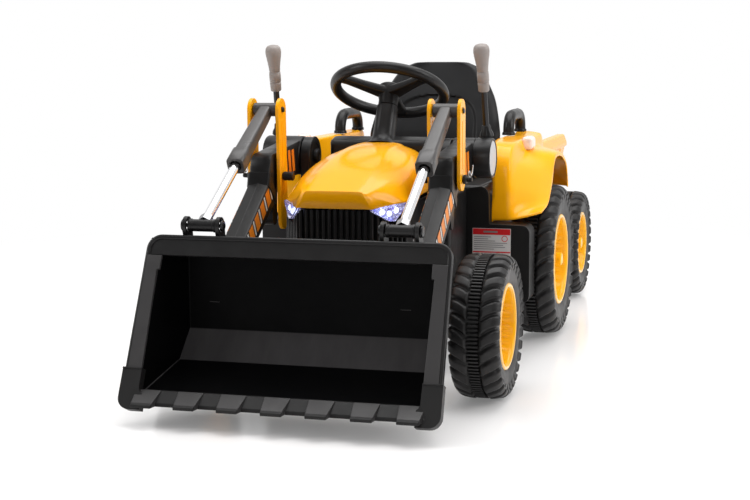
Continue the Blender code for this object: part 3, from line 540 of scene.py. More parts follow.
LABEL_GREY = moulded("label_print", (0.22, 0.21, 0.21), (0.16, 0.15, 0.15), 0.4, 0.5, 1200.0, 0.00003)
STICKER_ORANGE = moulded("sticker_orange", ORANGE, (0.8, 0.21, 0.01), 0.28, 0.38)
# Pale pinkish white of the washed-out glare on the fender's top: a painted highlight on the lamp block.
LAMP_BLOCK_PAINTED_GLARE = moulded("fender_lamp", (0.88, 0.74, 0.66), (0.84, 0.68, 0.6), 0.1, 0.2, 500.0, 0.0002, 0.7)
STEEL = metal("steel", (0.42, 0.42, 0.43), 0.28, 0.45)
BLACK_STEEL = metal("black_steel", (0.05, 0.05, 0.052), 0.25, 0.4)
CHROME = metal("chrome", (0.92, 0.92, 0.93), 0.04, 0.12, (1, 0.15, 0.15), 500.0)
CLEAR = clear_plastic()
REFLECTOR = lamp_reflector()
ARM_STICKER = stripes(
    "arm_sticker", [(0.0, ORANGE), (0.34, BLACK_DARK), (0.46, WHITE), (0.62, BLACK_DARK), (0.76, ORANGE)],
    (0.0, 0.86, 0.5), 0.034,
)


# ---------------------------------------------------------------- wheels
LUGS, LUG_STEPS = 30, 14
LUG_SWEEP = 0.17
LUG_TALL, LUG_OVERHANG = 0.0062, 0.0026
GROOVE_AT, BAND_HALF = 0.255, 0.25  # shares of the tyre's half-width
BAND_RIBS = 112
DISH_STEPS, DISH_RIBS, DISH_POCKETS = 360, 30, 5
RIM_WEB, HUB_SHARE = -0.006, 0.27  # the web's offset from the rim's middle, the hub's share of the radius


def tyre_profile():
    """(share of half-width, share of radius) from the inner bead round the tread to the outer bead."""
    half = [(0.86, 0.615), (0.945, 0.66), (1.0, 0.75), (1.0, 0.84), (0.95, 0.915), (0.82, 0.957)]
    half += [(0.58, 0.975), (0.34, 0.981), (0.0, 0.983)]
    controls = [(-a, r) for a, r in half] + [(a, r) for a, r in reversed(half[:-1])]
    return smooth_line(controls, 4)


def lug_height(across_share, radius_share, angle):
    """0 to 1: chunky lugs that sweep from the centre band over the shoulder to the sidewall."""
    away = np.abs(across_share)
    travel = np.clip((away - 0.27) / 0.73, 0, 1) + np.clip((0.93 - radius_share) * 2.6, 0, 1)
    centre = LUG_SWEEP * np.clip(travel, 0, 1.6) ** 0.62
    phase = ((angle - centre) * LUGS / (2 * math.pi)) % 1.0
    ridge = smoothstep(0.0, 0.16, phase) * (1 - smoothstep(0.7, 0.99, phase))
    ends = smoothstep(0.27, 0.33, away) * smoothstep(0.8, 0.85, radius_share)
    return ridge * ends


def wheel_size(node):
    """Centre, radius and half-width of a wheel's CAD node."""
    low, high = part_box(node)
    return (low + high) / 2 - ORIGIN, (high.z - low.z) / 2, (high.x - low.x) / 2


def tread_rows(radius, half):
    """(offset along the axle, radius, angle) of the tread's surface of lugs and grooves."""
    profile = tyre_profile()
    share, ring = profile[:, 0][:, None], profile[:, 1][:, None]
    slope = np.gradient(profile, axis=0)
    normal = np.stack([-slope[:, 1] * radius, slope[:, 0] * half], axis=-1)
    normal /= np.linalg.norm(normal, axis=1)[:, None]
    angles = np.linspace(0, 2 * math.pi, LUGS * LUG_STEPS, endpoint=False)[None, :]
    height = lug_height(share, ring, angles)
    base_x = share * (half - LUG_OVERHANG) + 0 * angles
    base_r = ring * (radius - 0.0002) - LUG_TALL * 0.62 + 0 * angles
    groove = np.exp(-((np.abs(share) - GROOVE_AT) / 0.022) ** 2) * 0.0016
    band = (np.abs(share) < BAND_HALF) * 0.001
    lift = height * LUG_TALL * np.where(np.abs(share) > 0.97, 0.45, 1.0) - band + groove
    return base_x + lift * normal[:, 0][:, None], base_r + lift * normal[:, 1][:, None], angles


def make_tyre(node, side, body):
    """The tread, with a band of cross ribs round its middle."""
    centre, radius, half = wheel_size(node)
    x, r, angles = tread_rows(radius, half)
    points = np.stack([centre.x + side * x, centre.y - r * np.cos(angles), centre.z + r * np.sin(angles)],
                      axis=-1)
    name = node.replace("_tyre_", "_tread_")
    tread = smooth(grid(name, points, wrap_columns=True))
    ribs = bmesh.new()
    rib_half, rib_long = half * 0.215, 2 * math.pi * radius / BAND_RIBS * 0.52
    for i in range(BAND_RIBS):
        turn = Matrix.Rotation(2 * math.pi * i / BAND_RIBS, 4, "X")
        place = Matrix.Translation(centre) @ turn @ Matrix.Translation((0, 0, radius - 0.0042))
        size = Matrix.Diagonal((rib_half * 2, rib_long, 0.0064, 1))
        bmesh.ops.create_cube(ribs, size=1.0, matrix=place @ size)
    ribs = bevel(from_builder(name + "_band", ribs), 0.0006, 1)
    show(ribs, body, TYRE)
    show(tread, body, TYRE, node)


def dish_profile(seat, half, web, hub):
    """(radius, offset) down the visible side of a rim, from its seat over the lip to the hub."""
    return [(seat - 0.001, half - 0.012), (seat, half - 0.006), (seat + 0.0004, half - 0.003),
            (seat - 0.0012, half - 0.001), (seat - 0.004, half), (seat - 0.0068, half - 0.0012),
            (seat - 0.0082, half - 0.0042), (seat - 0.0088, half - 0.009), (seat - 0.01, web + 0.026),
            (seat - 0.011, web + 0.018), (seat - 0.0122, web + 0.01), (seat - 0.0145, web + 0.004),
            (seat - 0.0185, web + 0.0008), (seat - 0.024, web), ((seat + hub) / 2 + 0.006, web),
            ((seat + hub) / 2, web), ((seat + hub) / 2 - 0.006, web), (hub + 0.01, web),
            (hub + 0.005, web + 0.001), (hub + 0.0018, web + 0.005), (hub, web + 0.01),
            (hub - 0.001, web + 0.0125), (hub - 0.0035, web + 0.0135), (hub * 0.45, web + 0.0135)]


def make_dish(node, side, body, sizes):
    """The visible face: rounded lip, short ribs low on the wall, five pockets in the web, a hub boss."""
    centre, seat, half, web, hub = sizes
    profile = np.array(dish_profile(seat, half, web, hub))
    angles = np.linspace(0, 2 * math.pi, DISH_STEPS, endpoint=False)[None, :]
    radius, offset = profile[:, 0][:, None] + 0 * angles, profile[:, 1][:, None] + 0 * angles
    on_wall = smoothstep(web + 0.002, web + 0.006, offset) * (radius > hub * 1.5)
    on_wall *= 1 - smoothstep(web + 0.016, web + 0.021, offset)
    rib = smoothstep(0.25, 0.75, np.cos(angles * DISH_RIBS) * 0.5 + 0.5)
    radius = radius - 0.0034 * on_wall * rib
    spoke = smoothstep(0.3, 0.55, np.cos(angles * DISH_POCKETS) * 0.5 + 0.5)
    in_web = smoothstep(hub + 0.004, hub + 0.009, radius)
    in_web *= 1 - smoothstep(seat - 0.027, seat - 0.022, radius)
    offset = offset - 0.0065 * in_web * (1 - spoke)
    x, y, z = side * offset, radius * np.cos(angles), radius * np.sin(angles)
    points = np.stack([centre.x + x, centre.y + y, centre.z + z], axis=-1)
    dish = thicken(smooth(grid(node + "_dish", points, wrap_columns=True)), 0.0022,
                   -1.0 if side > 0 else 1.0)
    show(dish, body, YELLOW_RIM, node)


def make_rim(node, side, body):
    """A deep dish on a barrel, with a lip painted a paler yellow as a painted highlight, a black hub cap and
    a cover over the axle's end.
    """
    centre, seat, half = wheel_size(node)
    web, hub = RIM_WEB, seat * HUB_SHARE
    make_dish(node, side, body, (centre, seat, half, web, hub))
    back = across(centre.x * side, (centre.y, centre.z), side)
    barrel = [(seat - 0.001, half - 0.011), (seat - 0.001, -half), (seat - 0.004, -half),
              (seat - 0.0135, web - 0.004)]
    turned(node + "_barrel", barrel, back, 96, body, YELLOW_RIM, angle=30)
    lip = [(seat - 0.0062, half - 0.0006), (seat - 0.0042, half + 0.0004), (seat - 0.0014, half - 0.0006)]
    lip += [(seat + 0.0006, half - 0.0032), (seat + 0.0002, half - 0.005)]
    # The lip in the paler yellow: a painted highlight.
    turned(node + "_lip", lip, back, 128, body, YELLOW_LIP_HIGHLIGHT)
    cap = [(hub - 0.002, web + 0.013), (hub - 0.003, web + 0.0165), (hub * 0.6, web + 0.0195),
           (hub * 0.52, web + 0.018)]
    cap += [(hub * 0.3, web + 0.018), (hub * 0.24, web + 0.0215), (0.00001, web + 0.022)]
    turned(node + "_cap", cap, back, 48, body, BLACK, angle=35)
    axle = {"rear": "rear_axle", "trailer": "trailer_frame"}.get(node.split("_")[0])
    if axle:
        end = (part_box(axle)[1] - ORIGIN).x - abs(centre.x) + 0.0012
        cover = [(0.013, web + 0.012), (0.013, end - 0.002), (0.011, end), (0.00001, end)]
        turned(node + "_cover", cover, back, 36, body, YELLOW_RIM, angle=35)


def make_wheels():
    for side_name, side in SIDES.items():
        for axle in ("front", "rear", "trailer"):
            body = f"{axle}_wheel_{side_name}"
            make_tyre(f"{axle}_tyre_{side_name}", side, body)
            make_rim(f"{axle}_rim_{side_name}", side, body)


# ---------------------------------------------------------------- places taken from the frame
JOINTS = {joint["name"]: joint for joint in frame["joints"]}


def joint_at(name):
    """(Y, Z) of a hinge in the vehicle's frame."""
    x, y, z = JOINTS[name]["pos_m"]
    return y - ORIGIN.y, z


BOOM_PIVOT, BUCKET_PIVOT = joint_at("boom_lift"), joint_at("bucket_tilt")
CYLINDER_TOP = joint_at("cylinder_swing_left")
SLIDE_AXIS = Vector(JOINTS["cylinder_slide_left"]["axis"])
CYLINDER_X = (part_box("cylinder_barrel_left")[0].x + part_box("cylinder_barrel_left")[1].x) / 2
KNEE_PIN = tuple(middle("knee_pin_left") - ORIGIN)[1:]


# ---------------------------------------------------------------- bucket
# (Y, Z, outer half-width, inner half-width) round the shell's side, from the mouth's top edge to its lip.
MOUTH_TOP = (-0.823, 0.293, 0.259, 0.233)
MOUTH_LIP = (-0.938, 0.0445, 0.264, 0.239)
BACK_TOP = (-0.768, 0.262, 0.218, 0.213)
BACK_LOW = (-0.768, 0.128, 0.218, 0.213)
FLOOR_BACK = (-0.8, 0.078, 0.226, 0.22)
OUTER, INNER = 2, 3  # the columns of the half-widths above
SHEET = 0.004
RIM_DROP, RIM_INSET = 0.007, 0.0075  # the shell's top corners stay under the rounded rim
BAND_TALL = 0.0345
CAP_TALL = 0.046
MOUTH_UP = Vector((0, MOUTH_TOP[0] - MOUTH_LIP[0], MOUTH_TOP[1] - MOUTH_LIP[1]))
MOUTH_TALL = MOUTH_UP.length
MOUTH_UP.normalize()
MOUTH_OUT = Vector((0, -MOUTH_UP.z, MOUTH_UP.y))
MOUTH_PLANE = Matrix(((1, 0, 0, 0), (0, MOUTH_UP.y, MOUTH_OUT.y, MOUTH_LIP[0]),
                      (0, MOUTH_UP.z, MOUTH_OUT.z, MOUTH_LIP[1]), (0, 0, 0, 1)))


def mouth_half(up, column=OUTER):
    share = up / MOUTH_TALL
    return MOUTH_LIP[column] + (MOUTH_TOP[column] - MOUTH_LIP[column]) * share


def on_mouth(u, up, out=0.0):
    return MOUTH_PLANE @ Vector((u, up, out))


def make_bucket_shell():
    """Two nested folded skins joined round the mouth, so the sides are thick in front and thin behind."""
    band_bottom = MOUTH_TALL - BAND_TALL
    share = (BACK_LOW[1] - MOUTH_LIP[1]) / (MOUTH_TOP[1] - MOUTH_LIP[1])

    def skin(column, inset):
        top = band_bottom if column == INNER else MOUTH_TALL - RIM_DROP
        rim, mid, lip = (on_mouth(0, up) for up in (top, MOUTH_TALL * share, 0.0))
        halves = [mouth_half(top, column), mouth_half(MOUTH_TALL * share, column), mouth_half(0, column)]
        if column == OUTER:
            halves[0] -= RIM_INSET
        line = [(rim.y, rim.z, halves[0]), (BACK_TOP[0] - inset, BACK_TOP[1] - inset, BACK_TOP[column])]
        line += [(BACK_LOW[0] - inset, BACK_LOW[1], BACK_LOW[column]),
                 (FLOOR_BACK[0] - inset * 0.8, FLOOR_BACK[1] + inset * 0.8, FLOOR_BACK[column])]
        line += [(lip.y, lip.z + inset - 0.004, halves[2]), (mid.y, mid.z, halves[1])]
        return [(-w, y, z) for y, z, w in line] + [(w, y, z) for y, z, w in line]

    outer, inner = skin(OUTER, -SHEET * 0.5), skin(INNER, SHEET * 0.5)
    sheet = [(i, i + 1, i + 7, i + 6) for i in range(4)]
    sheet += [(0, 5, 2, 1), (5, 4, 3, 2), (6, 7, 8, 11), (11, 8, 9, 10)]
    faces = sheet + [tuple(12 + i for i in face) for face in sheet]
    mouth = (0, 5, 4, 10, 11, 6)
    for a, b in zip(mouth, mouth[1:] + mouth[:1]):
        faces.append((a, b, b + 12, a + 12))
    eased(new_object("bucket_body", outer + inner, faces), 0.0042, "bucket", BUCKET_BLACK, "bucket_shell",
          segments=3, angle=14)


def rim_path():
    """The mouth's outer edge from the left cap over the rounded top corners to the right cap."""
    corner = 0.021
    w = mouth_half(MOUTH_TALL) - 0.0035
    top = MOUTH_TALL - 0.0035
    path = [(mouth_half(0.02) - 0.0035, 0.02)]
    path += arc((w - corner, top - corner), corner, 0, 90, 9)
    path += [(-u, v) for u, v in reversed(path)]
    return path


def make_bucket_rim():
    """A rounded ridge swept round the mouth's sides and top."""
    path = rim_path()
    section = rounded_rect(0.0042, 0.0075, 0.0032, 4)
    rows = []
    for i, (u, v) in enumerate(path):
        before, after = path[max(i - 1, 0)], path[min(i + 1, len(path) - 1)]
        tangent = Vector((after[0] - before[0], after[1] - before[1])).normalized()
        aside = Vector((tangent.y, -tangent.x))
        rows.append([on_mouth(u + aside.x * a, v + aside.y * a, out - 0.003) for a, out in section])
    rounded(loft("bucket_rim", rows), "bucket", BLACK, angle=50)


def make_bucket_band():
    """The rolled front band under the top edge."""
    w = mouth_half(MOUTH_TALL)
    top, low = MOUTH_TALL - 0.006, MOUTH_TALL - BAND_TALL
    outline = [(w - 0.0065, low), *arc((w - 0.0215, top - 0.015), 0.015, 0, 90, 7)]
    outline += [(-u, v) for u, v in reversed(outline)]
    band = plate("bucket_band", [outline], 0.007, MOUTH_PLANE @ Matrix.Translation((0, 0, -0.002)))
    eased(band, 0.0016, "bucket", BLACK)


def make_bucket_flange(name, side):
    """The flat strip along the side of the mouth, wider at its top, with a step."""
    low, high, step = CAP_TALL - 0.012, MOUTH_TALL - BAND_TALL - 0.0015, MOUTH_TALL - BAND_TALL - 0.026
    outline = []
    for up, inset in ((low, 0.0295), (step, 0.0255), (step, 0.03), (high, 0.0305)):
        outline.append((mouth_half(up) - inset, up))
    outline += [(mouth_half(high) - 0.0048, high), (mouth_half(low) - 0.0048, low)]
    flange = plate(f"bucket_flange_{name}", [outline], 0.006,
                   MOUTH_PLANE @ Matrix.Translation((0, 0, 0.0025)))
    # The strip is drawn in the lighter black: a painted highlight where it faces the light.
    eased(flange, 0.001, "bucket", BLACK_PAINTED_HIGHLIGHT, side=side)


def make_bucket_cap(name, side):
    """A thick corner piece over the foot of the side, rounded at its lower outer corner."""
    w = mouth_half(0) + 0.003
    low = -0.0215
    outline = [(w - 0.034, CAP_TALL), (mouth_half(CAP_TALL) + 0.003, CAP_TALL)]
    outline += arc((w - 0.019, low + 0.019), 0.019, 0, -90, 8)
    outline += [(w - 0.04, low), (w - 0.04, 0.004)]
    outline += arc((w - 0.046, 0.016), 0.012, -60, 0, 6)
    cap = plate(f"bucket_cap_{name}", [outline], 0.017, MOUTH_PLANE @ Matrix.Translation((0, 0, -0.002)))
    eased(cap, 0.0024, "bucket", BLACK_GRAIN, side=side)
    ridge = [(w - 0.034, CAP_TALL - 0.0014), (w - 0.0006, CAP_TALL - 0.0014),
             (w - 0.0006, CAP_TALL + 0.0014), (w - 0.034, CAP_TALL + 0.0014)]
    line = plate(f"bucket_cap_edge_{name}", [ridge], 0.0195,
                 MOUTH_PLANE @ Matrix.Translation((0, 0, -0.002)))
    eased(line, 0.0006, "bucket", BLACK_GRAIN, side=side, segments=2)


def make_bucket_lip():
    """The wear edge: a strip that slopes down steeply, and seven teeth that run on ahead of it."""
    y, z, half = MOUTH_LIP[0], MOUTH_LIP[1], MOUTH_LIP[2] - 0.032
    top, low = z + 0.0105, z - 0.011
    wedge = [(y + 0.014, top), (y + 0.009, top), (y - 0.011, low + 0.006), (y - 0.0125, low),
             (y + 0.012, low)]
    eased(side_plate("lip_strip", [wedge], -half - 0.01, half + 0.01), 0.001, "bucket", BLACK_GRAIN,
          "bucket_lip")
    for i in range(7):
        x = (i - 3) * (half * 2 / 6.35)
        # Tooth bodies in the lighter black, a painted highlight on their top faces; the tips stay in the
        # grained black.
        show_tooth(f"lip_tooth_{i}", x, y, low, ((-0.008, 0.0215, 0.0225), (0.0235, 0.0176, 0.0075)),
                   BLACK_PAINTED_HIGHLIGHT)
        show_tooth(f"lip_tip_{i}", x, y, low, ((0.0225, 0.0178, 0.0072), (0.028, 0.0172, 0.005)),
                   BLACK_GRAIN)


def show_tooth(name, x, y, low, steps, material):
    """A wedge across the lip: each step is (how far ahead, half-width, height above the lip's foot)."""
    rows = []
    for ahead, half, tall in steps:
        rows.append([(x - half, y - ahead, low), (x + half, y - ahead, low),
                     (x + half, y - ahead, low + tall), (x - half, y - ahead, low + tall)])
    eased(loft(name, rows), 0.001, "bucket", material, segments=3, angle=20)


def make_bucket_details():
    """A slot on each side inside; the rods' ears, the arms' lugs and stiffening ribs outside."""
    for name, side in SIDES.items():
        # The slot mark is drawn in the lighter black: a painted highlight line.
        slot = side_box(f"bucket_slot_{name}", side, (0.158, BACK_LOW[0] - 0.003, 0.1742),
                        (0.176, BACK_LOW[0] - 0.0008, 0.1754))
        eased(slot, 0.0004, "bucket", BLACK_PAINTED_HIGHLIGHT, segments=2)
        for k, x in enumerate((0.1372, 0.1951)):
            foot = rod_foot()
            ring = link_outline(foot, (foot[0] + 0.008, foot[1] - 0.03), 0.015, 0.012)
            ear = side_plate(f"bucket_ear_{name}_{k}", [ring, circle(foot, 0.0102)], side * x,
                             side * (x + 0.0066))
            eased(ear, 0.001, "bucket", BLACK)
        for k, x in enumerate((0.1412, 0.1915)):
            lug = arc(BUCKET_PIVOT, 0.015, -80, 80, 13) + [(-0.764, 0.225), (-0.764, 0.14)]
            solid = side_plate(f"bucket_lug_{name}_{k}", [lug, circle(BUCKET_PIVOT, 0.0054)], side * x,
                               side * (x + 0.0065))
            eased(solid, 0.001, "bucket", BLACK)
    for k in range(5):
        x = (k - 2) * 0.052
        rib = [(-0.7655, 0.255), (-0.7655, 0.132), (-0.756, 0.14), (-0.756, 0.245)]
        eased(side_plate(f"bucket_rib_{k}", [rib], x - 0.003, x + 0.003), 0.0012, "bucket", BLACK)


def rod_foot():
    """(Y, Z) of the T foot's axis."""
    low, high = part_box("cylinder_rod_left")
    return low.y - ORIGIN.y + 0.0115, low.z + 0.0115


# ---------------------------------------------------------------- tilt cylinders
def along_cylinder(distance):
    top = Vector((CYLINDER_X, *CYLINDER_TOP))
    return top + SLIDE_AXIS * distance


def make_cylinder(name, side):
    frame_at = axis_frame(along_cylinder(0), along_cylinder(1), (1, 0, 0))
    rows = []
    for distance, half, radius in (
        (0.004, 0.0108, 0.0045), (0.03, 0.0118, 0.005), (0.146, 0.0132, 0.0056), (0.148, 0.0133, 0.0056),
        (0.1486, 0.0151, 0.0068), (0.1505, 0.0156, 0.0072), (0.186, 0.0158, 0.008), (0.1876, 0.015, 0.008),
        (0.188, 0.0118, 0.009), (0.1865, 0.0104, 0.01), (0.17, 0.01, 0.0098),
    ):
        ring = rounded_rect(half, half, min(radius, half - 0.0002), 6)
        rows.append([frame_at @ Vector((u, v, distance)) for u, v in ring])
    rounded(loft(f"cylinder_body_{name}", rows), f"barrel_{name}", DARK_GREY, f"cylinder_barrel_{name}",
            side=side, angle=34)
    tube_at = across(0.147, CYLINDER_TOP)
    ends = [(0.0056, 0.0), (0.0118, 0.0), (0.0124, 0.0006), (0.0124, 0.0446), (0.0118, 0.0452),
            (0.0056, 0.0452)]
    turned(f"cylinder_cross_{name}", ends, tube_at, 40, f"barrel_{name}", DARK_GREY, side=side, angle=30)
    foot = rod_foot()
    reach = (Vector((CYLINDER_X, *foot)) - along_cylinder(0)).length
    shaft = [(0.0001, 0.085), (0.0083, 0.085), (0.0083, reach - 0.004), (0.0001, reach - 0.004)]
    turned(f"cylinder_chrome_{name}", shaft, frame_at, 40, f"rod_{name}", CHROME, f"cylinder_rod_{name}",
           side=side, angle=30)
    nut = [(0.0084, reach - 0.0235), (0.0112, reach - 0.0225), (0.0118, reach - 0.019),
           (0.0118, reach - 0.008)]
    turned(f"cylinder_nut_{name}", nut, frame_at, 6, f"rod_{name}", STEEL, side=side, angle=20)
    make_rod_foot(name, side, foot)


def make_rod_foot(name, side, foot):
    """The black T: a cross tube with a collar at each end, two end caps and a pin through it."""
    at = across(0.1452, foot)
    profile = [(0.0036, 0.0), (0.0102, 0.0), (0.0112, 0.001), (0.0112, 0.0045), (0.0102, 0.0058),
               (0.0102, 0.0428)]
    profile += [(0.0112, 0.0441), (0.0112, 0.0476), (0.0102, 0.0486), (0.0036, 0.0486)]
    turned(f"rod_foot_{name}", profile, at, 36, f"rod_{name}", BLACK, side=side, angle=30)
    for k, x in enumerate((0.1325, 0.2025)):
        cap = [(0.0001, 0.0), (0.0072, 0.0), (0.0092, 0.001), (0.0094, 0.0034), (0.008, 0.004),
               (0.0001, 0.004)]
        turned(f"rod_pin_end_{name}_{k}", cap, across(x, foot), 32, f"rod_{name}", BLACK_STEEL, side=side,
               angle=30)
    turned(f"rod_pin_{name}", [(0.0034, 0.001), (0.0034, 0.071)], across(0.133, foot), 20, f"rod_{name}",
           BLACK_STEEL, side=side)


# ---------------------------------------------------------------- arms
ARM_X = (0.15, 0.19)
DRUM_LOW, DRUM_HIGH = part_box("boom_arm_left")


def arm_sections(line, crest):
    """Rings across an arm. The line gives (top Y, Z) and (bottom Y, Z); crest lifts its top in the middle."""
    rows = []
    x0, x1 = ARM_X
    mid, crest_half, round_by = (x0 + x1) / 2, 0.0012, 0.004
    for (ty, tz), (by, bz) in line:
        top, low = Vector((ty, tz)), Vector((by, bz))
        up = (top - low).normalized()
        near_top, crown, shoulder = top - up * 0.001, top + up * crest * 0.75, top - up * round_by
        ring = [(x0 + round_by, low), (x0, low + up * round_by), (x0, shoulder),
                (x0 + round_by * 0.35, near_top)]
        ring += [(x0 + round_by, top), (mid - crest_half, crown), (mid, top + up * crest),
                 (mid + crest_half, crown)]
        ring += [(x1 - round_by, top), (x1 - round_by * 0.35, near_top), (x1, shoulder)]
        ring += [(x1, low + up * round_by), (x1 - round_by, low)]
        rows.append([(x, point.x, point.y) for x, point in ring])
    return rows


def make_arm(name, side):
    py, pz = BUCKET_PIVOT
    rear = [((-0.33, 0.4255), (-0.33, 0.358)), ((-0.42, 0.4165), (-0.42, 0.355)),
            ((-0.505, 0.408), (-0.468, 0.35))]
    rounded(loft(f"arm_rear_{name}", arm_sections(rear, 0.0)), "boom", BLACK, f"boom_arm_{name}", side=side,
            angle=28)
    knee = [((-0.5, 0.4085), (-0.462, 0.352)), ((-0.516, 0.4065), (-0.478, 0.345)),
            ((-0.5265, 0.399), (-0.488, 0.336)), ((-0.531, 0.384), (-0.496, 0.328)),
            ((-0.5345, 0.37), (-0.501, 0.322))]
    rounded(loft(f"arm_knee_{name}", arm_sections(knee, 0.0)), "boom", BLACK, side=side, angle=40)
    collar = [((-0.537, 0.376), (-0.4985, 0.327)), ((-0.544, 0.35), (-0.503, 0.3135))]
    rings = arm_sections(collar, 0.0)
    centre = (ARM_X[0] + ARM_X[1]) / 2
    wide = [[(centre + (x - centre) * 1.11, y, z) for x, y, z in ring] for ring in rings]
    eased(loft(f"arm_collar_{name}", wide), 0.0012, "boom", BLACK, side=side, segments=2)
    front = [((-0.538, 0.356), (-0.5, 0.319)), ((py - 0.014, pz + 0.016), (py + 0.012, pz - 0.013))]
    rounded(loft(f"arm_front_{name}", arm_sections(front, 0.0022)), "boom", BLACK, side=side, angle=24)
    eye = [(0.0054, -0.02), (0.015, -0.02), (0.016, -0.019), (0.016, 0.019), (0.015, 0.02), (0.0054, 0.02)]
    turned(f"arm_eye_{name}", eye, across(centre, BUCKET_PIVOT), 40, "boom", BLACK, side=side, angle=30)
    gusset = side_plate(f"arm_gusset_{name}", [link_outline((-0.486, 0.285), (-0.486, 0.34), 0.012, 0.014)],
                        0.158, 0.18)
    eased(gusset, 0.0015, "boom", BLACK, side=side)
    make_drum(name, side)
    make_arm_stickers(name, side)


def make_drum(name, side):
    """The big hub: a drum, a black rim round a light grey disc outboard, a dark dished face inboard."""
    inner, outer = DRUM_LOW.x + 0.002, DRUM_HIGH.x
    long = outer - inner
    profile = [(0.009, 0.0), (0.035, 0.0), (0.0372, 0.0016), (0.0376, 0.004), (0.0376, long * 0.56),
               (0.0364, long * 0.57)]
    profile += [(0.0364, long * 0.6), (0.038, long * 0.61), (0.038, long - 0.003), (0.0368, long - 0.0006)]
    profile += [(0.0352, long), (0.034, long - 0.0004), (0.0336, long - 0.0026), (0.0001, long - 0.0026)]
    at = across(inner, BOOM_PIVOT)
    turned(f"drum_{name}", profile, at, 72, "boom", BLACK, side=side, angle=30)
    disc = [(0.0334, long - 0.0026), (0.0328, long - 0.0014), (0.03, long - 0.0009),
            (0.0001, long - 0.0005)]
    turned(f"drum_disc_{name}", disc, at, 72, "boom", DISC_GREY, side=side)
    face = [(0.037, 0.129), (0.0366, 0.1274), (0.035, 0.1266), (0.025, 0.1268), (0.0235, 0.1278),
            (0.015, 0.1278)]
    at_centre = across(0.0, BOOM_PIVOT)
    turned(f"cheek_face_{name}", face, at_centre, 64, "chassis", BLACK, side=side, angle=30)
    plug = [(0.0132, 0.127), (0.0128, 0.1205), (0.011, 0.1195), (0.006, 0.1195), (0.0052, 0.121),
            (0.0001, 0.121)]
    turned(f"pivot_cap_{name}", plug, at_centre, 40, "chassis", BLACK_GRAIN, side=side, angle=30)


def strip_points(corners, x):
    return [(x, y, z) for y, z in corners]


def make_arm_stickers(name, side):
    """Plain orange, white and black bands on both faces of the arm, and three orange bars behind."""
    py, pz = BUCKET_PIVOT
    film = 0.0003
    start, end = Vector((-0.53, 0.3385)), Vector((py + 0.024, pz + 0.026))
    aside = Vector((-(end - start).y, (end - start).x)).normalized() * 0.0145
    long = [start + aside, end + aside, end - aside, start - aside]
    bars = []
    for y in (-0.399, -0.42, -0.441):
        bars.append([Vector((y, 0.409)), Vector((y - 0.013, 0.407)), Vector((y - 0.006, 0.366)),
                     Vector((y + 0.007, 0.367))])
    for face, x in (("in", ARM_X[0] - film), ("out", ARM_X[1] + film)):
        sheet = new_object(f"arm_sticker_{name}_{face}", strip_points([tuple(p) for p in long], x),
                           [(0, 1, 2, 3)])
        show(thicken(for_side(sheet, side), film), "boom", ARM_STICKER)
        for k, bar in enumerate(bars):
            patch = new_object(f"arm_bar_{name}_{face}_{k}", strip_points([tuple(p) for p in bar], x),
                               [(0, 1, 2, 3)])
            show(thicken(for_side(patch, side), film), "boom", STICKER_ORANGE)


def make_plates(name, side):
    """Yellow links with rounded ends, a rib down the middle, and pins."""
    for kind, foot in (("inner", (-0.486, 0.285)), ("outer", KNEE_PIN)):
        node = f"link_plate_{kind}_{name}"
        low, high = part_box(f"link_plate_{kind}_left")
        foot_r = 0.019 if kind == "inner" else 0.021
        outline = link_outline(CYLINDER_TOP, foot, 0.021, foot_r)
        holes = [circle(CYLINDER_TOP, 0.006)]
        if kind == "inner":
            holes.append(circle(KNEE_PIN, 0.0066))
        solid = side_plate(f"{node}_body", [outline, *holes], low.x + 0.0006, high.x - 0.0006)
        eased(solid, 0.0014, "boom", YELLOW, node, side=side)
        upper, lower = Vector(CYLINDER_TOP), Vector(foot)
        run = (lower - upper).normalized()
        ends = [tuple(upper + run * 0.022), tuple(lower - run * 0.022)]
        rib = side_plate(f"{node}_rib", [link_outline(*ends, 0.0045, 0.0045)], low.x, high.x)
        eased(rib, 0.0006, "boom", YELLOW, side=side, segments=2)
    make_plate_pins(name, side)


def make_plate_pins(name, side):
    pin = [(0.0001, 0.0), (0.0042, 0.0), (0.0048, 0.0006), (0.0048, 0.0664), (0.0042, 0.067),
           (0.0001, 0.067)]
    turned(f"top_pin_{name}", pin, across(0.136, CYLINDER_TOP), 24, "boom", BLACK_STEEL,
           f"cylinder_top_pin_{name}", side=side, angle=30)
    grip = [(0.0001, 0.0), (0.007, 0.0), (0.0085, 0.0015), (0.0078, 0.005), (0.0085, 0.0085),
            (0.0078, 0.012)]
    grip += [(0.0085, 0.0155), (0.008, 0.019), (0.0056, 0.0192), (0.0056, 0.083), (0.0085, 0.0832),
             (0.0086, 0.087)]
    grip += [(0.007, 0.089), (0.0045, 0.0893), (0.004, 0.098), (0.003, 0.0988), (0.0001, 0.0988)]
    turned(f"knee_grip_{name}", grip, across(0.1185, KNEE_PIN), 32, "boom", BLACK, f"knee_pin_{name}",
           side=side, angle=32)
    y, z = KNEE_PIN
    x = 0.214
    clip = [(x, y + 0.001, z + 0.0045), (x, y - 0.01, z + 0.005), (x, y - 0.016, z + 0.0095),
            (x, y - 0.013, z + 0.015)]
    clip += [(x, y - 0.006, z + 0.015), (x, y - 0.002, z + 0.0105), (x, y + 0.004, z + 0.0065),
             (x, y + 0.01, z + 0.0085)]
    clip += [(x, y + 0.016, z + 0.015), (x, y + 0.021, z + 0.024)]
    wire = [tuple(p) for p in smooth_line(clip, 5)]
    rounded(tube(f"spring_clip_{name}", wire, 0.0011, 3), "boom", STEEL, side=side)


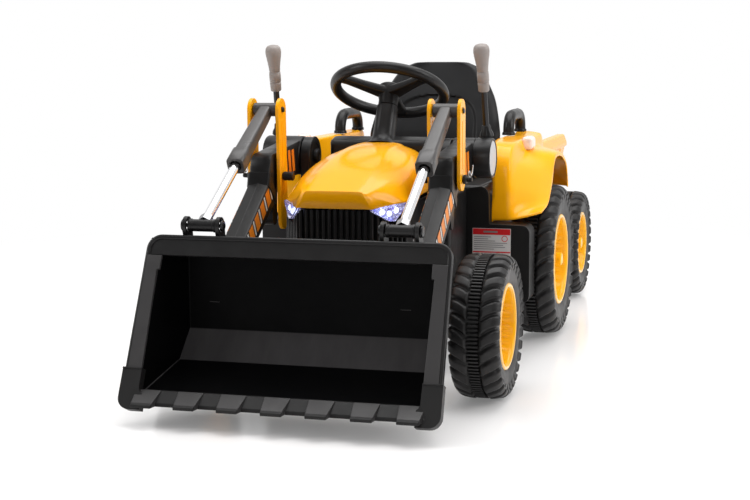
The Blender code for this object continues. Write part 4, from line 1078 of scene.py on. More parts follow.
def make_lever(name, side):
    """A black steel rod and a soft-edged grip with two grooves, leaning forward."""
    low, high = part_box("lever_rod_left")
    grip_low, grip_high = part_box("lever_grip_left")
    low, high, grip_low, grip_high = (corner - ORIGIN for corner in (low, high, grip_low, grip_high))
    foot = Vector(((low.x + high.x) / 2 + 0.0015, high.y - 0.006, low.z))
    top = Vector(((grip_low.x + grip_high.x) / 2, grip_low.y + 0.0135, grip_high.z))
    at = axis_frame(foot, top, (0, 1, 0))
    long = (top - foot).length
    rod = [(0.0001, 0.0), (0.0058, 0.0), (0.0058, long - 0.06), (0.0001, long - 0.06)]
    turned(f"lever_bar_{name}", rod, at, 28, "boom", BLACK_STEEL, f"lever_rod_{name}", side=side, angle=30)
    boot = [(0.0135, 0.0), (0.0125, 0.006), (0.009, 0.012), (0.008, 0.02), (0.006, 0.021)]
    turned(f"lever_boot_{name}", boot, at, 28, "boom", BLACK, side=side)
    profile = [(0.006, 0.0), (0.0092, 0.0), (0.0103, 0.0015), (0.0108, 0.014), (0.0108, 0.016),
               (0.0098, 0.0166), (0.0098, 0.0176), (0.011, 0.0184), (0.0112, 0.03), (0.0108, 0.037),
               (0.0098, 0.0376), (0.0098, 0.0386), (0.0106, 0.0394), (0.011, 0.046), (0.0126, 0.058),
               (0.0144, 0.068), (0.0152, 0.075), (0.015, 0.08), (0.0138, 0.0845), (0.011, 0.0878),
               (0.006, 0.0894), (0.0001, 0.0898)]
    profile = [(r, long - 0.0898 + h) for r, h in profile]
    turned(f"lever_handle_{name}", profile, at, 48, "boom", GRIP, f"lever_grip_{name}", side=side, angle=60)


# ---------------------------------------------------------------- body of the tractor
WHEEL_CENTRE = Vector(JOINTS["steering"]["pos_m"]) - ORIGIN
COLUMN_AXIS = Vector(JOINTS["steering"]["axis"])
DECK_X, DECK_FRONT_Y, DECK_TOP_Z = 0.184, -0.235, 0.33


def front_plate(name, rings, y0, y1):
    """A plate whose rings are (X, Z) points, between two Y planes."""
    turn = Matrix(((1, 0, 0, 0), (0, 0, 1, (y0 + y1) / 2), (0, 1, 0, 0), (0, 0, 0, 1)))
    return plate(name, rings, abs(y1 - y0), turn)


# Half of the nose in plan, (X, Y), and the lamps' lower edge, (distance along the nose, Z).
NOSE_PATH = ((0.0, -0.6175), (0.066, -0.615), (0.108, -0.553), (0.1095, -0.43))
LAMP_LOW = ((0.0, 0.3225), (0.064, 0.32), (0.078, 0.313), (0.108, 0.296), (0.124, 0.2965), (0.142, 0.318),
            (0.3, 0.32))


def along_nose(distance):
    """Point and heading at a distance along the nose's plan, from the middle of the grille."""
    for (x0, y0), (x1, y1) in zip(NOSE_PATH, NOSE_PATH[1:]):
        length, heading = math.hypot(x1 - x0, y1 - y0), math.atan2(y1 - y0, x1 - x0)
        if distance <= length:
            return x0 + (x1 - x0) * distance / length, y0 + (y1 - y0) * distance / length, heading
        distance -= length
    return x1, y1, heading


def nose_ring(inset):
    half = [(x - inset * min(1, x / 0.05), y + inset) for x, y in NOSE_PATH[1:3]]
    half = [*half, (0.11 - inset, -0.3), (0.11 - inset, -0.225)]
    return half + [(-x, y) for x, y in reversed(half)]


def make_nose():
    """The front moulding: upright ribs that run round the corners under the lamps, over a plain block."""
    shell = plan_plate("nose_shell", [nose_ring(0.0065)], 0.15, 0.3215)
    eased(shell, 0.005, "chassis", BLACK, "lower_body", segments=4)
    ribs = []
    for side in (1, -1):
        for k in range(0 if side > 0 else 1, 14):
            distance = k * 0.0108
            x, y, turn = along_nose(distance)
            top = float(np.interp(distance, *zip(*LAMP_LOW))) - 0.003
            c, s = math.cos(turn), math.sin(turn)
            section = rounded_rect(0.003, 0.005, 0.0022, 3)
            ring = [(side * (x + u * c - v * s), y + u * s + v * c + 0.0035) for u, v in section]
            ribs.append(plan_plate(f"rib_{side}_{k}", [ring], 0.156, top))
    eased(merge("grille_ribs", *ribs), 0.001, "chassis", BLACK, segments=2)
    base = plan_plate("grille_base", [nose_ring(0.0015)], 0.15, 0.1575)
    eased(base, 0.002, "chassis", BLACK)
    brow = plan_plate("grille_brow", [nose_ring(0.003)], 0.3195, 0.3225)
    eased(brow, 0.001, "chassis", BLACK, segments=2)


def make_deck():
    deck = box("seat_deck", (-DECK_X, DECK_FRONT_Y + 0.004, 0.15), (DECK_X, 0.175, DECK_TOP_Z))
    eased(deck, 0.011, "chassis", BLACK, segments=4)
    rear = [(-0.15, 0.3), (-0.15, 0.19), (-0.12, 0.165), (0.12, 0.165), (0.15, 0.19), (0.15, 0.3)]
    inside = [(x * 0.84, 0.232 + (z - 0.232) * 0.76) for x, z in rear]
    rear_panel = front_plate("rear_panel", [rear, inside], 0.172, 0.178)
    eased(rear_panel, 0.0018, "chassis", BLACK_GRAIN)
    tongue = plan_plate("tow_tongue", [link_outline((0, 0.17), (0, 0.212), 0.03, 0.026)], 0.165, 0.182)
    eased(tongue, 0.003, "chassis", BLACK)
    peg = [(0.0001, 0.175), (0.0055, 0.175), (0.0055, 0.218), (0.0048, 0.221), (0.003, 0.222),
           (0.0001, 0.222)]
    turned("tow_peg", peg, Matrix.Translation((0, 0.215, 0)), 24, "chassis", BLACK_STEEL, angle=40)


def make_footrest():
    ring = rounded_rect(0.265, 0.125, 0.028, 6)
    slab = plan_plate("footrest_slab", [[(x, y - 0.33) for x, y in ring]], 0.098, 0.1115)
    eased(slab, 0.003, "chassis", BLACK_GRAIN)
    treads = []
    for side in (1, -1):
        for k in range(9):
            y = -0.438 + k * 0.024
            low_x, high_x = sorted((side * 0.165, side * 0.25))
            treads.append(box(f"tread_{side}_{k}", (low_x, y, 0.11), (high_x, y + 0.0065, 0.113)))
    eased(merge("footrest_treads", *treads), 0.001, "chassis", BLACK_GRAIN)


def make_shroud(name, side):
    """The black panel in front of the rear wheel, which rises to a rounded shoulder under the drum."""
    outline = [(0.147, 0.101), *arc((0.262, 0.115), 0.014, -90, 0, 5),
               *arc((0.259, 0.237), 0.017, 0, 80, 6)]
    outline += [(0.196, 0.255), *arc((0.176, 0.31), 0.019, 0, 80, 8),
                *arc((0.16, 0.313), 0.013, 100, 180, 5)]
    panel = front_plate(f"shroud_{name}", [outline], DECK_FRONT_Y, -0.178)
    eased(panel, 0.007, "chassis", BLACK, side=side, segments=4)
    block = side_box(f"pedestal_{name}", side, (0.105, -0.378, 0.105), (0.15, -0.225, 0.325))
    eased(block, 0.009, "chassis", BLACK, segments=4)
    cheek = link_outline((BOOM_PIVOT[0], 0.3), BOOM_PIVOT, 0.036, 0.036, 17)
    wall = side_plate(f"cheek_{name}", [cheek, circle(BOOM_PIVOT, 0.0095)], 0.1283, 0.146)
    eased(wall, 0.0022, "chassis", BLACK, side=side)
    for k in range(4):
        z = 0.135 + k * 0.045
        louvre = side_box(f"pedestal_louvre_{name}_{k}", side, (0.112, -0.3795, z),
                          (0.143, -0.376, z + 0.012))
        eased(louvre, 0.0014, "chassis", BLACK_GRAIN)


def make_label():
    """A plain warning-style label with no lettering: a red header, a red rule, grey bars and a ring."""
    y = DECK_FRONT_Y - 0.0002
    x0, x1, z0, z1 = 0.163, 0.239, 0.15, 0.2465

    def patch(name, low_x, high_x, low_z, high_z, lift, material):
        film = box(name, (low_x, y - lift, low_z), (high_x, y + 0.0004, high_z))
        show(film, "chassis", material)

    patch("label_sheet", x0, x1, z0, z1, 0.0003, LABEL)
    patch("label_header", x0 + 0.0008, x1 - 0.0008, z1 - 0.0125, z1 - 0.0008, 0.0005, LABEL_RED)
    patch("label_rule", x0 + 0.0008, x1 - 0.0008, 0.1985, 0.201, 0.0005, LABEL_RED)
    patch("label_title", x0 + 0.022, x1 - 0.026, z1 - 0.0085, z1 - 0.005, 0.0007, LABEL_GREY)
    widths = (0.034, 0.028, 0.042, 0.066, 0.058, 0.062, 0.04)
    for k, width in enumerate(widths):
        z = z1 - 0.0175 - k * 0.004
        patch(f"label_line_{k}", x0 + 0.003, x0 + 0.003 + width, z, z + 0.0013, 0.0005, LABEL_GREY)
    for k in range(9):
        z = 0.194 - k * 0.0044
        patch(f"label_note_{k}", x0 + 0.003, x1 - 0.004 - 0.008 * (k % 3), z, z + 0.0014, 0.0005,
              LABEL_GREY)
    rings = [circle((x1 - 0.012, 0.2265), radius) for radius in (0.0062, 0.0048)]
    ring = front_plate("label_ring", rings, y - 0.0005, y + 0.0002)
    show(ring, "chassis", LABEL_RED)


HOOD_ROWS = (  # (X, Y, Z) of the crest, the panel crease, the shoulder and the edge, from the dash forwards
    ((0, -0.326, 0.417), (0.044, -0.326, 0.413), (0.084, -0.326, 0.393), (0.108, -0.326, 0.336)),
    ((0, -0.4, 0.413), (0.047, -0.4, 0.409), (0.091, -0.4, 0.387), (0.112, -0.4, 0.334)),
    ((0, -0.47, 0.402), (0.05, -0.47, 0.3985), (0.096, -0.468, 0.376), (0.1155, -0.466, 0.332)),
    ((0, -0.545, 0.383), (0.053, -0.543, 0.3805), (0.094, -0.53, 0.362), (0.115, -0.516, 0.3305)),
    ((0, -0.6, 0.3625), (0.0535, -0.597, 0.361), (0.084, -0.58, 0.35), (0.112, -0.552, 0.329)),
    ((0, -0.63, 0.35), (0.0515, -0.6275, 0.349), (0.07, -0.609, 0.343), (0.098, -0.577, 0.3275)),
)
HOOD_LOW = ((0, -0.6315, 0.3222), (0.0685, -0.629, 0.3222), (0.084, -0.6, 0.3252), (0.0985, -0.577, 0.3272))


def straight_line(controls, steps):
    """The controls joined by straight stretches, each cut in the same number of steps."""
    controls = np.asarray(controls, float)
    shares = np.arange(steps)[:, None] / steps
    parts = [a + (b - a) * shares for a, b in zip(controls, controls[1:])]
    return np.vstack([*parts, controls[-1:]])


def make_hood():
    """A smooth crowned panel with a raised spine, ending in one flat upright facet above the grille."""
    controls = np.array(HOOD_ROWS, float)
    rows = list(np.stack([smooth_line(controls[:, j], 8) for j in range(4)], axis=1))
    surface = []
    for row in rows:
        line = smooth_line(np.vstack([row[:0:-1] * np.array([-1, 1, 1]), row]), 9)
        crease = row[1][0]
        line[:, 2] += 0.0026 * (1 - smoothstep(crease - 0.002, crease + 0.004, np.abs(line[:, 0])))
        surface.append(line)
    low = np.array(HOOD_LOW, float)
    surface.append(straight_line(np.vstack([low[:0:-1] * np.array([-1, 1, 1]), low]), 9))
    hood = grid("hood_shell", np.array(surface))
    rounded(thicken(hood, 0.003), "chassis", YELLOW, "hood", angle=24)
    seal = [(x, y + 0.0015, z - 0.004) for x, y, z in surface[0]]
    rounded(tube("hood_seal", seal, 0.0028, 3), "chassis", BLACK)


LAMP_IN, LAMP_OUT = Vector((0.0655, -0.6215, 0)), Vector((0.1115, -0.5555, 0))
LAMP_OUTLINE = (  # distance from the inner tip along the lamp, and Z
    (0.0, 0.3215), (0.004, 0.316), (0.041, 0.2975), (0.054, 0.297), (0.0805, 0.3235), (0.08, 0.3285),
    (0.04, 0.3262),
)


def make_headlight(name, side):
    """A faceted reflector with three small lamps behind a clear lens, set across the nose's corner."""
    along = (LAMP_OUT - LAMP_IN).normalized()
    outward = Vector((along.y, -along.x, 0))
    centre = Vector((0.041, 0.3135))

    def ring(depth, shrink):
        points = []
        for u, z in LAMP_OUTLINE:
            flat = centre + (Vector((u, z)) - centre) * shrink
            points.append(LAMP_IN + along * flat.x + outward * depth + Vector((0, 0, flat.y)))
        return points

    lens = loft(f"lamp_lens_{name}", [ring(0.0022, 1.0), ring(0.0046, 0.97)])
    eased(lens, 0.0008, "chassis", CLEAR, f"headlight_{name}", side=side)
    steps = ((-0.004, 0.99), (0.0016, 0.99), (0.0002, 0.86), (-0.0024, 0.6))
    bowl = loft(f"lamp_bowl_{name}", [ring(*step) for step in steps])
    show(for_side(bowl, side), "chassis", REFLECTOR)
    dome = [(0.0054, 0.0), (0.005, 0.0014), (0.0036, 0.0026), (0.0018, 0.0032), (0.0001, 0.0034)]
    for k, (u, z) in enumerate(((0.027, 0.3145), (0.043, 0.311), (0.059, 0.316))):
        foot = LAMP_IN + along * u + Vector((0, 0, z)) - outward * 0.0022
        led = lathe(f"lamp_led_{name}_{k}", dome, axis_frame(foot, foot + outward), 12)
        rounded(led, "chassis", LED, side=side, angle=20)


def make_cowl():
    """The dash behind the hood, with its column flaring out of it."""
    outline = [(-0.3205, 0.326), (-0.2385, 0.326), (-0.2385, 0.355), (-0.25, 0.402), (-0.286, 0.43),
               (-0.3205, 0.4205)]
    dash = side_plate("dash", [outline], -0.104, 0.104)
    eased(dash, 0.01, "chassis", BLACK, "steering_cowl", segments=4)
    at = axis_frame(WHEEL_CENTRE, WHEEL_CENTRE + COLUMN_AXIS, (0, 1, 0))
    rows = []
    for distance, half, radius in (
        (-0.122, 0.036, 0.03), (-0.115, 0.0285, 0.024), (-0.108, 0.0235, 0.02), (-0.099, 0.0212, 0.017),
        (-0.082, 0.0204, 0.016), (-0.06, 0.02, 0.0155), (-0.036, 0.0196, 0.015),
    ):
        rows.append([at @ Vector((u, v, distance)) for u, v in rounded_rect(half, half, radius, 7)])
    rounded(loft("column_cover", rows), "chassis", BLACK, angle=50)
    for k, x in enumerate((-0.06, 0.06)):
        at = axis_frame((x, -0.262, 0.4125), (x, -0.2437, 0.4361))
        knob = [(0.013, -0.004), (0.013, 0.002), (0.011, 0.0034), (0.01, 0.009), (0.0084, 0.0104),
                (0.0001, 0.0108)]
        turned(f"dash_knob_{k}", knob, at, 32, "chassis", BLACK_GRAIN, angle=30)


def make_steering_wheel():
    at = axis_frame(WHEEL_CENTRE, WHEEL_CENTRE + COLUMN_AXIS, (0, 1, 0))
    ring = [at @ Vector((u, v, 0)) for u, v in circle((0, 0), 0.1065, 96)]
    rounded(tube("wheel_rim", ring, 0.0108, 7, cyclic=True), "steering", BLACK, "steering_wheel")
    for k, degrees in enumerate((90, 215, 325)):
        heading = Vector((math.cos(math.radians(degrees)), math.sin(math.radians(degrees)), 0))
        aside = Vector((-heading.y, heading.x, 0))
        rows = []
        for reach, half, thick, lift in (
            (0.012, 0.0165, 0.0085, -0.006), (0.03, 0.014, 0.008, -0.005), (0.06, 0.0115, 0.0072, -0.003),
            (0.085, 0.0105, 0.0068, -0.0008), (0.101, 0.0115, 0.007, 0.0),
        ):
            spine = heading * reach + Vector((0, 0, lift))
            section = rounded_rect(half, thick, 0.0045, 4)
            rows.append([at @ (spine + aside * u + Vector((0, 0, v))) for u, v in section])
        rounded(loft(f"wheel_spoke_{k}", rows), "steering", BLACK, angle=40)
    hub = [(0.0076, -0.0345), (0.017, -0.0345), (0.0188, -0.033), (0.019, -0.022), (0.0216, -0.012),
           (0.0218, 0.004)]
    hub += [(0.0208, 0.0086), (0.0178, 0.0108), (0.0172, 0.0098), (0.013, 0.0114), (0.0001, 0.012)]
    turned("wheel_hub", hub, at, 48, "steering", BLACK, angle=30)


SEAT_ROWS = (  # Z, half-width, front Y
    (0.3305, 0.137, 0.084), (0.394, 0.146, 0.104), (0.422, 0.145, 0.113), (0.478, 0.1315, 0.137),
    (0.5145, 0.114, 0.1535), (0.5375, 0.1, 0.164), (0.554, 0.083, 0.1715), (0.5635, 0.062, 0.176),
)
SEAT_ARCH_Z = 0.494


def seat_panel_half(z):
    """Half-width of the recessed panel in the seat's back at a height; it closes over in an arch."""
    share = np.clip((z - 0.37) / (SEAT_ARCH_Z - 0.37), 0, 1)
    return 0.092 * math.sqrt(max(1e-6, 1 - share ** 6))


def make_seat():
    """A crowned back with a recessed arch panel, over a pan with an inset cushion face."""
    sections = []
    for z, half, front in smooth_line(SEAT_ROWS, 12):
        across_share = np.linspace(-1, 1, 81)
        x = across_share * half
        inside = 1 - smoothstep(-0.0025, 0.0025, np.abs(x) - seat_panel_half(z))
        inside = inside * (1 - smoothstep(SEAT_ARCH_Z - 0.002, SEAT_ARCH_Z + 0.002, z))
        crown = 0.012 * np.abs(across_share) ** 3 - 0.02 * np.abs(across_share) ** 14
        y = front + 0.006 - crown + 0.0046 * inside
        back = front + 0.03 - 0.014 * np.abs(across_share) ** 8
        ring = [*zip(x, y), *zip(x[::-1], back[::-1])]
        sections.append([(a, b, z) for a, b in ring])
    centre = Vector((0, 0.1925, 0.565))
    for share, lift in ((0.14, 0.0012), (0.35, 0.0006), (0.8, 0.0004)):
        sections.append([tuple(Vector(p).lerp(centre, share) + Vector((0, 0, lift))) for p in sections[-1]])
    rounded(loft("seat_back", sections), "chassis", SEAT_BLACK, "seat", angle=60)
    pan_ring = [(x, y + 0.0075) for x, y in rounded_rect(0.135, 0.117, 0.03, 7)]
    pan = plan_plate("seat_pan_shell", [pan_ring], 0.331, 0.356)
    eased(pan, 0.006, "chassis", SEAT_BLACK, segments=4)
    cushion_ring = [(x, y - 0.004) for x, y in rounded_rect(0.112, 0.092, 0.026, 7)]
    cushion = plan_plate("seat_cushion_panel", [cushion_ring], 0.355, 0.36)
    eased(cushion, 0.0022, "chassis", SEAT_BLACK)
    bar = [(-0.06, 0.1345, 0.456), (-0.03, 0.135, 0.458), (0.03, 0.135, 0.458), (0.06, 0.1345, 0.456)]
    rounded(tube("seat_slot", bar, 0.003, 4), "chassis", SEAT_BLACK)


FENDER_ROWS = (  # inner X, inner ridge (Y, Z), outer edge (Y, Z), share of the stepped top in the row
    (0.197, (-0.2155, 0.26), (-0.197, 0.278), 0), (0.197, (-0.2155, 0.288), (-0.1295, 0.2865), 0),
    (0.197, (-0.215, 0.331), (-0.096, 0.307), 0), (0.195, (-0.208, 0.379), (-0.071, 0.336), 0.35),
    (0.188, (-0.1775, 0.407), (-0.05, 0.363), 1), (0.1785, (-0.12, 0.413), (-0.024, 0.379), 1),
    (0.1725, (0.0, 0.413), (0.029, 0.38), 1), (0.1725, (0.115, 0.413), (0.0815, 0.3705), 1),
    (0.1725, (0.173, 0.411), (0.125, 0.3505), 1), (0.1785, (0.187, 0.3455), (0.144, 0.312), 0),
    (0.1825, (0.187, 0.2975), (0.147, 0.2975), 0),
)
FENDER_X = (0.206, 0.231, 0.239, 0.2765, 0.293)
FRONT_SHARES, TOP_SHARES = (0.0, 0.0, 0.01, 0.1, 0.7, 1.0), (0.0, 0.02, 0.08, 0.6, 0.86, 1.0)


def rounded_line(points, reach, steps=4):
    """A polyline with each inner corner rounded off, and every stretch cut in the same number of steps."""
    points = np.asarray(points, float)
    line = [points[:1]]
    for before, corner, after in zip(points, points[1:], points[2:]):
        to_before, to_after = before - corner, after - corner
        a = corner + to_before * min(0.45, reach / np.linalg.norm(to_before))
        b = corner + to_after * min(0.45, reach / np.linalg.norm(to_after))
        line.append(np.array([(line[-1][-1] + a) / 2]))
        shares = np.linspace(0, 1, steps)[:, None]
        line.append(a * (1 - shares) ** 2 + 2 * corner * shares * (1 - shares) + b * shares ** 2)
    line.append(np.array([(line[-1][-1] + points[-1]) / 2, points[-1]]))
    return np.vstack(line)


def fender_row(inner_x, ridge, edge, stepped):
    ridge, edge = np.array(ridge), np.array(edge)
    row = []
    for x, front_share, top_share in zip((inner_x + 0.005, *FENDER_X), FRONT_SHARES, TOP_SHARES):
        share = front_share + (top_share - front_share) * stepped
        row.append((x, *(ridge + (edge - ridge) * share)))
    wall_z = min(ridge[1] - 0.01, 0.334) if ridge[1] > 0.31 else ridge[1] - 0.0035
    row.insert(0, (inner_x, ridge[0] + 0.006 * (ridge[1] > 0.33), wall_z))
    lip_y = 0.004 if edge[0] < -0.05 else -0.002
    row.append((row[-1][0] + 0.0006, edge[0] + lip_y, edge[1] - (0.008 if edge[1] > 0.32 else 0.002)))
    return row


def make_fender(name, side):
    """The arch over the rear wheel: a front wall, a raised inner block, a step down to a shelf, a lip."""
    controls = np.array([fender_row(*row) for row in FENDER_ROWS])
    rows = np.stack([smooth_line(controls[:, j], 6) for j in range(controls.shape[1])], axis=1)
    surface = np.array([rounded_line(row, 0.006) for row in rows])
    skin = for_side(grid(f"fender_skin_{name}", surface), side)
    rounded(thicken(skin, 0.003), "chassis", YELLOW, f"fender_{name}", angle=34)
    # The lamp block on the fender's top is coloured as the glare there: a painted highlight.
    lamp = side_box(f"fender_lamp_{name}", side, (0.23, -0.08, 0.39), (0.254, -0.04, 0.417))
    eased(lamp, 0.008, "chassis", LAMP_BLOCK_PAINTED_GLARE, segments=5)


def make_grab_handle(name, side):
    x, front, rear, top, bend, foot = 0.1855, 0.019, 0.153, 0.454, 0.031, 0.4175
    path = [(x, front, foot), (x, front, foot + 0.003)]
    path += [(x, front + bend + u, top - bend + v) for u, v in arc((0, 0), bend, 180, 90, 12)]
    path += [(x, rear - bend + u, top - bend + v) for u, v in arc((0, 0), bend, 90, 0, 12)]
    path += [(x, rear, foot + 0.003), (x, rear, foot)]
    rounded(tube(f"grab_loop_{name}", path, 0.0118, 7), "chassis", BLACK, f"grab_handle_{name}", side=side,
            angle=60)
    for k, y in enumerate((front, rear)):
        foot_ring = [(0.0115, -0.003), (0.0136, -0.003), (0.0138, 0.001), (0.0128, 0.0028),
                     (0.0115, 0.0032)]
        at = Matrix.Translation((side * x, y, foot))
        turned(f"grab_foot_{name}_{k}", foot_ring, at, 32, "chassis", BLACK, angle=40)
    seam = [(side * x, p[1], p[2] + 0.0118) for p in path[6:-6]]
    rounded(tube(f"grab_seam_{name}", seam, 0.0007, 2), "chassis", BLACK)


# ---------------------------------------------------------------- trailer
TUB_FRONT_Y, TUB_REAR_Y = 0.288, 0.715
TUB_SIDE = (  # (X, Z) round one side wall and its broad rail
    (0.1775, 0.2648), (0.181, 0.2648), (0.188, 0.296), (0.1985, 0.344), (0.2036, 0.348), (0.204, 0.356),
    (0.1975, 0.3745), (0.1945, 0.3765), (0.1795, 0.3765), (0.1772, 0.3735), (0.1775, 0.367), (0.1815, 0.363),
    (0.1945, 0.348), (0.1825, 0.296), (0.1775, 0.27),
)


def make_tub():
    for name, side in SIDES.items():
        rows = [[(x, y, z) for x, z in TUB_SIDE] for y in (TUB_FRONT_Y, TUB_REAR_Y)]
        wall = bevel(smooth(for_side(loft(f"tub_wall_{name}", rows), side)), 0.0022, 3, 20)
        show(wall, "trailer", YELLOW, "trailer_tub")
        for k in range(4):
            y = TUB_FRONT_Y + 0.06 + k * 0.1
            rib = [[(0.186, y + w, 0.28), (0.1995, y + w, 0.342), (0.196, y + w, 0.342),
                    (0.182, y + w, 0.28)] for w in (-0.004, 0.004)]
            rib_piece = for_side(loft(f"tub_rib_{name}_{k}", rib), side)
            eased(rib_piece, 0.0012, "trailer", YELLOW, segments=2)
    floor = box("tub_floor", (-0.179, TUB_FRONT_Y + 0.012, 0.2648), (0.179, TUB_REAR_Y, 0.2705))
    eased(floor, 0.002, "trailer", YELLOW)
    ridges = []
    for k in range(7):
        y = TUB_FRONT_Y + 0.04 + k * 0.052
        ridges.append(box(f"floor_ridge_{k}", (-0.15, y, 0.27), (0.15, y + 0.01, 0.2716)))
    eased(merge("tub_floor_ribs", *ridges), 0.0006, "trailer", YELLOW, segments=2)
    front = [(0.016, 0.266), (0.002, 0.33), (0.0, 0.332), (0.0, 0.3365), (0.0015, 0.338)]
    front += [(0.011, 0.338), (0.012, 0.334), (0.0075, 0.331), (0.0215, 0.27)]
    wall = side_plate("tub_front", [[(TUB_FRONT_Y + y, z) for y, z in front]], -0.188, 0.188)
    eased(wall, 0.0012, "trailer", YELLOW)


def make_tailgate():
    front, rear, low = TUB_REAR_Y + 0.001, TUB_REAR_Y + 0.007, 0.27
    outline = [(-0.181, low), (0.181, low), (0.1945, 0.3265), (0.1885, 0.338), (-0.1885, 0.338),
               (-0.1945, 0.3265)]
    recess = [(-0.144, low + 0.014), (0.144, low + 0.014), (0.152, 0.3225), (-0.152, 0.3225)]
    frame_piece = front_plate("tailgate_frame", [outline, recess], front, rear)
    eased(frame_piece, 0.0014, "tailgate", YELLOW, "trailer_tailgate")
    panel = front_plate("tailgate_panel", [[(x * 1.01, z) for x, z in recess]], front + 0.0008,
                        rear - 0.0022)
    eased(panel, 0.0008, "tailgate", YELLOW, segments=2)
    for name, side in SIDES.items():
        latch = side_box(f"tailgate_latch_{name}", side, (0.16, rear - 0.003, 0.306), (0.178, rear, 0.328))
        eased(latch, 0.0009, "tailgate", BLACK)


# ---------------------------------------------------------------- CAD nodes that stay
KEPT = {"front_axle_beam": (STEEL, 0.0015), "battery": (BLACK_GRAIN, 0.003),
        "gear_motor_left": (DARK_GREY, 0.0015), "gear_motor_right": (DARK_GREY, 0.0015),
        "rear_axle": (STEEL, 0.0008), "boom_pivot_pin_left": (BLACK_STEEL, 0.001),
        "boom_pivot_pin_right": (BLACK_STEEL, 0.001), "steering_shaft": (STEEL, 0.001),
        "tie_rod": (STEEL, 0.0012), "accelerator_pedal": (BLACK_GRAIN, 0.002),
        "bucket_pivot_pin_left": (BLACK_STEEL, 0.0008), "bucket_pivot_pin_right": (BLACK_STEEL, 0.0008),
        "knuckle_left": (STEEL, 0.001), "knuckle_right": (STEEL, 0.001), "trailer_frame": (BLACK, 0.002)}


def finish_kept_nodes():
    """Gives the CAD's own meshes a material and eased edges."""
    for name, (material, width) in KEPT.items():
        obj = frame["nodes"][name]
        obj.data.materials.clear()
        obj.data.materials.append(material)
        smooth(obj)
        weld = obj.modifiers.new("weld", "WELD")
        weld.merge_threshold = 0.00001
        bevel(obj, width, 2)


# ---------------------------------------------------------------- floor, light and camera
FLOOR_Z = -0.0015
FADE_FROM, FADE_TO = 1.05, 1.9  # distances from the middle between which the floor turns pure white


def make_floor():
    """A large pale sheet that fades to pure white away from the object."""
    corners = [(x, y, FLOOR_Z) for x, y in ((-14, -14), (14, -14), (14, 30), (-14, 30))]
    floor = new_object("floor", corners, [(0, 1, 2, 3)])
    material, tree, shader, coords = shader_nodes("pale_floor")
    shader.inputs["Base Color"].default_value = (0.88, 0.865, 0.86, 1)
    shader.inputs["Emission Color"].default_value = (1, 1, 1, 1)
    shader.inputs["Emission Strength"].default_value = 0.16
    tree.links.new(ranged(tree, noise(tree, coords, 3.0), 0.14, 0.2), shader.inputs["Roughness"])
    away = tree.nodes.new("ShaderNodeVectorMath")
    away.operation = "LENGTH"
    tree.links.new(coords, away.inputs[0])
    fade = ranged(tree, away.outputs["Value"], 0.0, 1.0, FADE_FROM, FADE_TO)
    white = tree.nodes.new("ShaderNodeEmission")
    white.inputs["Color"].default_value = (1, 1, 1, 1)
    blend = tree.nodes.new("ShaderNodeMixShader")
    tree.links.new(fade, blend.inputs["Fac"])
    tree.links.new(shader.outputs["BSDF"], blend.inputs[1])
    tree.links.new(white.outputs["Emission"], blend.inputs[2])
    tree.links.new(blend.outputs["Shader"], tree.nodes["Material Output"].inputs["Surface"])
    floor.data.materials.append(material)


def make_world():
    """White for the camera; the object is lit by a bright wall behind it and a dim room in front."""
    world = bpy.data.worlds.new("studio")
    world.use_nodes = True
    bpy.context.scene.world = world
    tree = world.node_tree
    seen, lit = tree.nodes["Background"], tree.nodes.new("ShaderNodeBackground")
    seen.inputs["Color"].default_value = (1, 1, 1, 1)
    coords = tree.nodes.new("ShaderNodeTexCoord")
    split = tree.nodes.new("ShaderNodeSeparateXYZ")
    tree.links.new(coords.outputs["Generated"], split.inputs[0])
    behind = ranged(tree, split.outputs["Y"], 0.05, 1.1, -0.2, 0.45)
    overhead = ranged(tree, split.outputs["Z"], 0.0, 0.8, 0.2, 0.9)
    tree.links.new(math_node(tree, "MAXIMUM", behind, overhead), lit.inputs["Strength"])
    path = tree.nodes.new("ShaderNodeLightPath")
    choose = tree.nodes.new("ShaderNodeMixShader")
    tree.links.new(path.outputs["Is Camera Ray"], choose.inputs["Fac"])
    tree.links.new(lit.outputs["Background"], choose.inputs[1])
    tree.links.new(seen.outputs["Background"], choose.inputs[2])
    tree.links.new(choose.outputs["Shader"], tree.nodes["World Output"].inputs["Surface"])


def softbox(name, location, target, size, power):
    light = bpy.data.lights.new(name, "AREA")
    light.shape = "RECTANGLE"
    light.size, light.size_y = size
    light.energy = power
    obj = bpy.data.objects.new(name, light)
    bpy.context.scene.collection.objects.link(obj)
    obj.location = location
    obj.rotation_euler = (Vector(target) - Vector(location)).to_track_quat("-Z", "Y").to_euler()


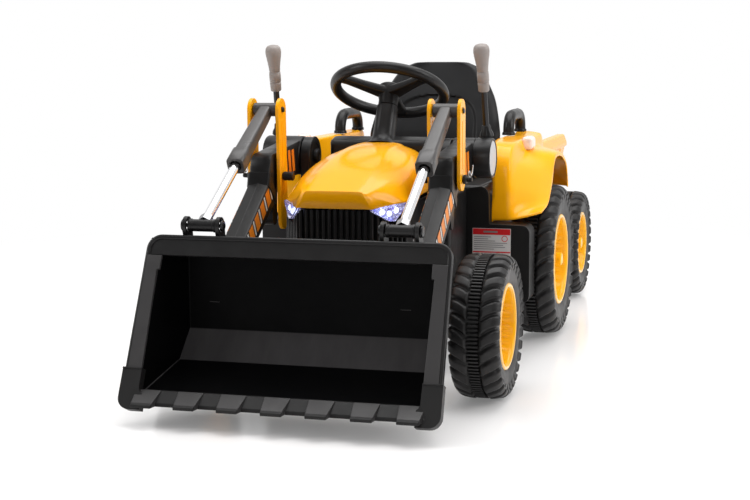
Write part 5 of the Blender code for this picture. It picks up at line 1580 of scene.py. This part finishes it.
SOFTBOXES = {  # place, target, size and watts
    "top_box": ((0.2, 0.1, 2.6), (0, 0, 0.3), (2.2, 2.6), 60),
    "left_box": ((-2.2, -1.6, 1.7), (0, -0.3, 0.3), (1.0, 1.6), 24),
    "right_box": ((2.4, -0.2, 1.5), (0.2, 0.0, 0.3), (1.4, 1.6), 30),
    "front_box": ((0.4, -3.4, 1.3), (0, -0.5, 0.25), (1.8, 0.9), 13),
}


CAMERA_AT = Vector((0.7775, -3.1027, 0.6021)) + ORIGIN
CAMERA_YAW, CAMERA_PITCH, CAMERA_ROLL = 0.27664, 0.1353, -0.0058
CAMERA_LENS = 72.0


def make_camera():
    data = bpy.data.cameras.new("camera")
    data.lens, data.sensor_width = CAMERA_LENS, 36.0
    camera = bpy.data.objects.new("camera", data)
    bpy.context.scene.collection.objects.link(camera)
    forward = Vector((-math.sin(CAMERA_YAW) * math.cos(CAMERA_PITCH),
                      math.cos(CAMERA_YAW) * math.cos(CAMERA_PITCH), -math.sin(CAMERA_PITCH)))
    right = Vector((math.cos(CAMERA_YAW), math.sin(CAMERA_YAW), 0))
    up = right.cross(forward)
    c, s = math.cos(CAMERA_ROLL), math.sin(CAMERA_ROLL)
    right, up = right * c + up * s, up * c - right * s
    back = -forward
    camera.matrix_world = Matrix(((right.x, up.x, back.x, CAMERA_AT.x),
                                  (right.y, up.y, back.y, CAMERA_AT.y),
                                  (right.z, up.z, back.z, CAMERA_AT.z), (0, 0, 0, 1)))
    bpy.context.scene.camera = camera
    bpy.context.scene.view_settings.view_transform = "Standard"


make_wheels()
for build in (make_bucket_shell, make_bucket_rim, make_bucket_band, make_bucket_lip, make_bucket_details,
              make_nose, make_deck, make_footrest, make_label, make_hood, make_cowl, make_steering_wheel,
              make_seat, make_tub, make_tailgate):
    build()
for build in (make_bucket_flange, make_bucket_cap, make_cylinder, make_arm, make_plates, make_lever,
              make_shroud, make_headlight, make_fender, make_grab_handle):
    for side_name, side_sign in SIDES.items():
        build(side_name, side_sign)
finish_kept_nodes()
make_floor()
make_world()
for light_name, light_values in SOFTBOXES.items():
    softbox(light_name, *light_values)
make_camera()
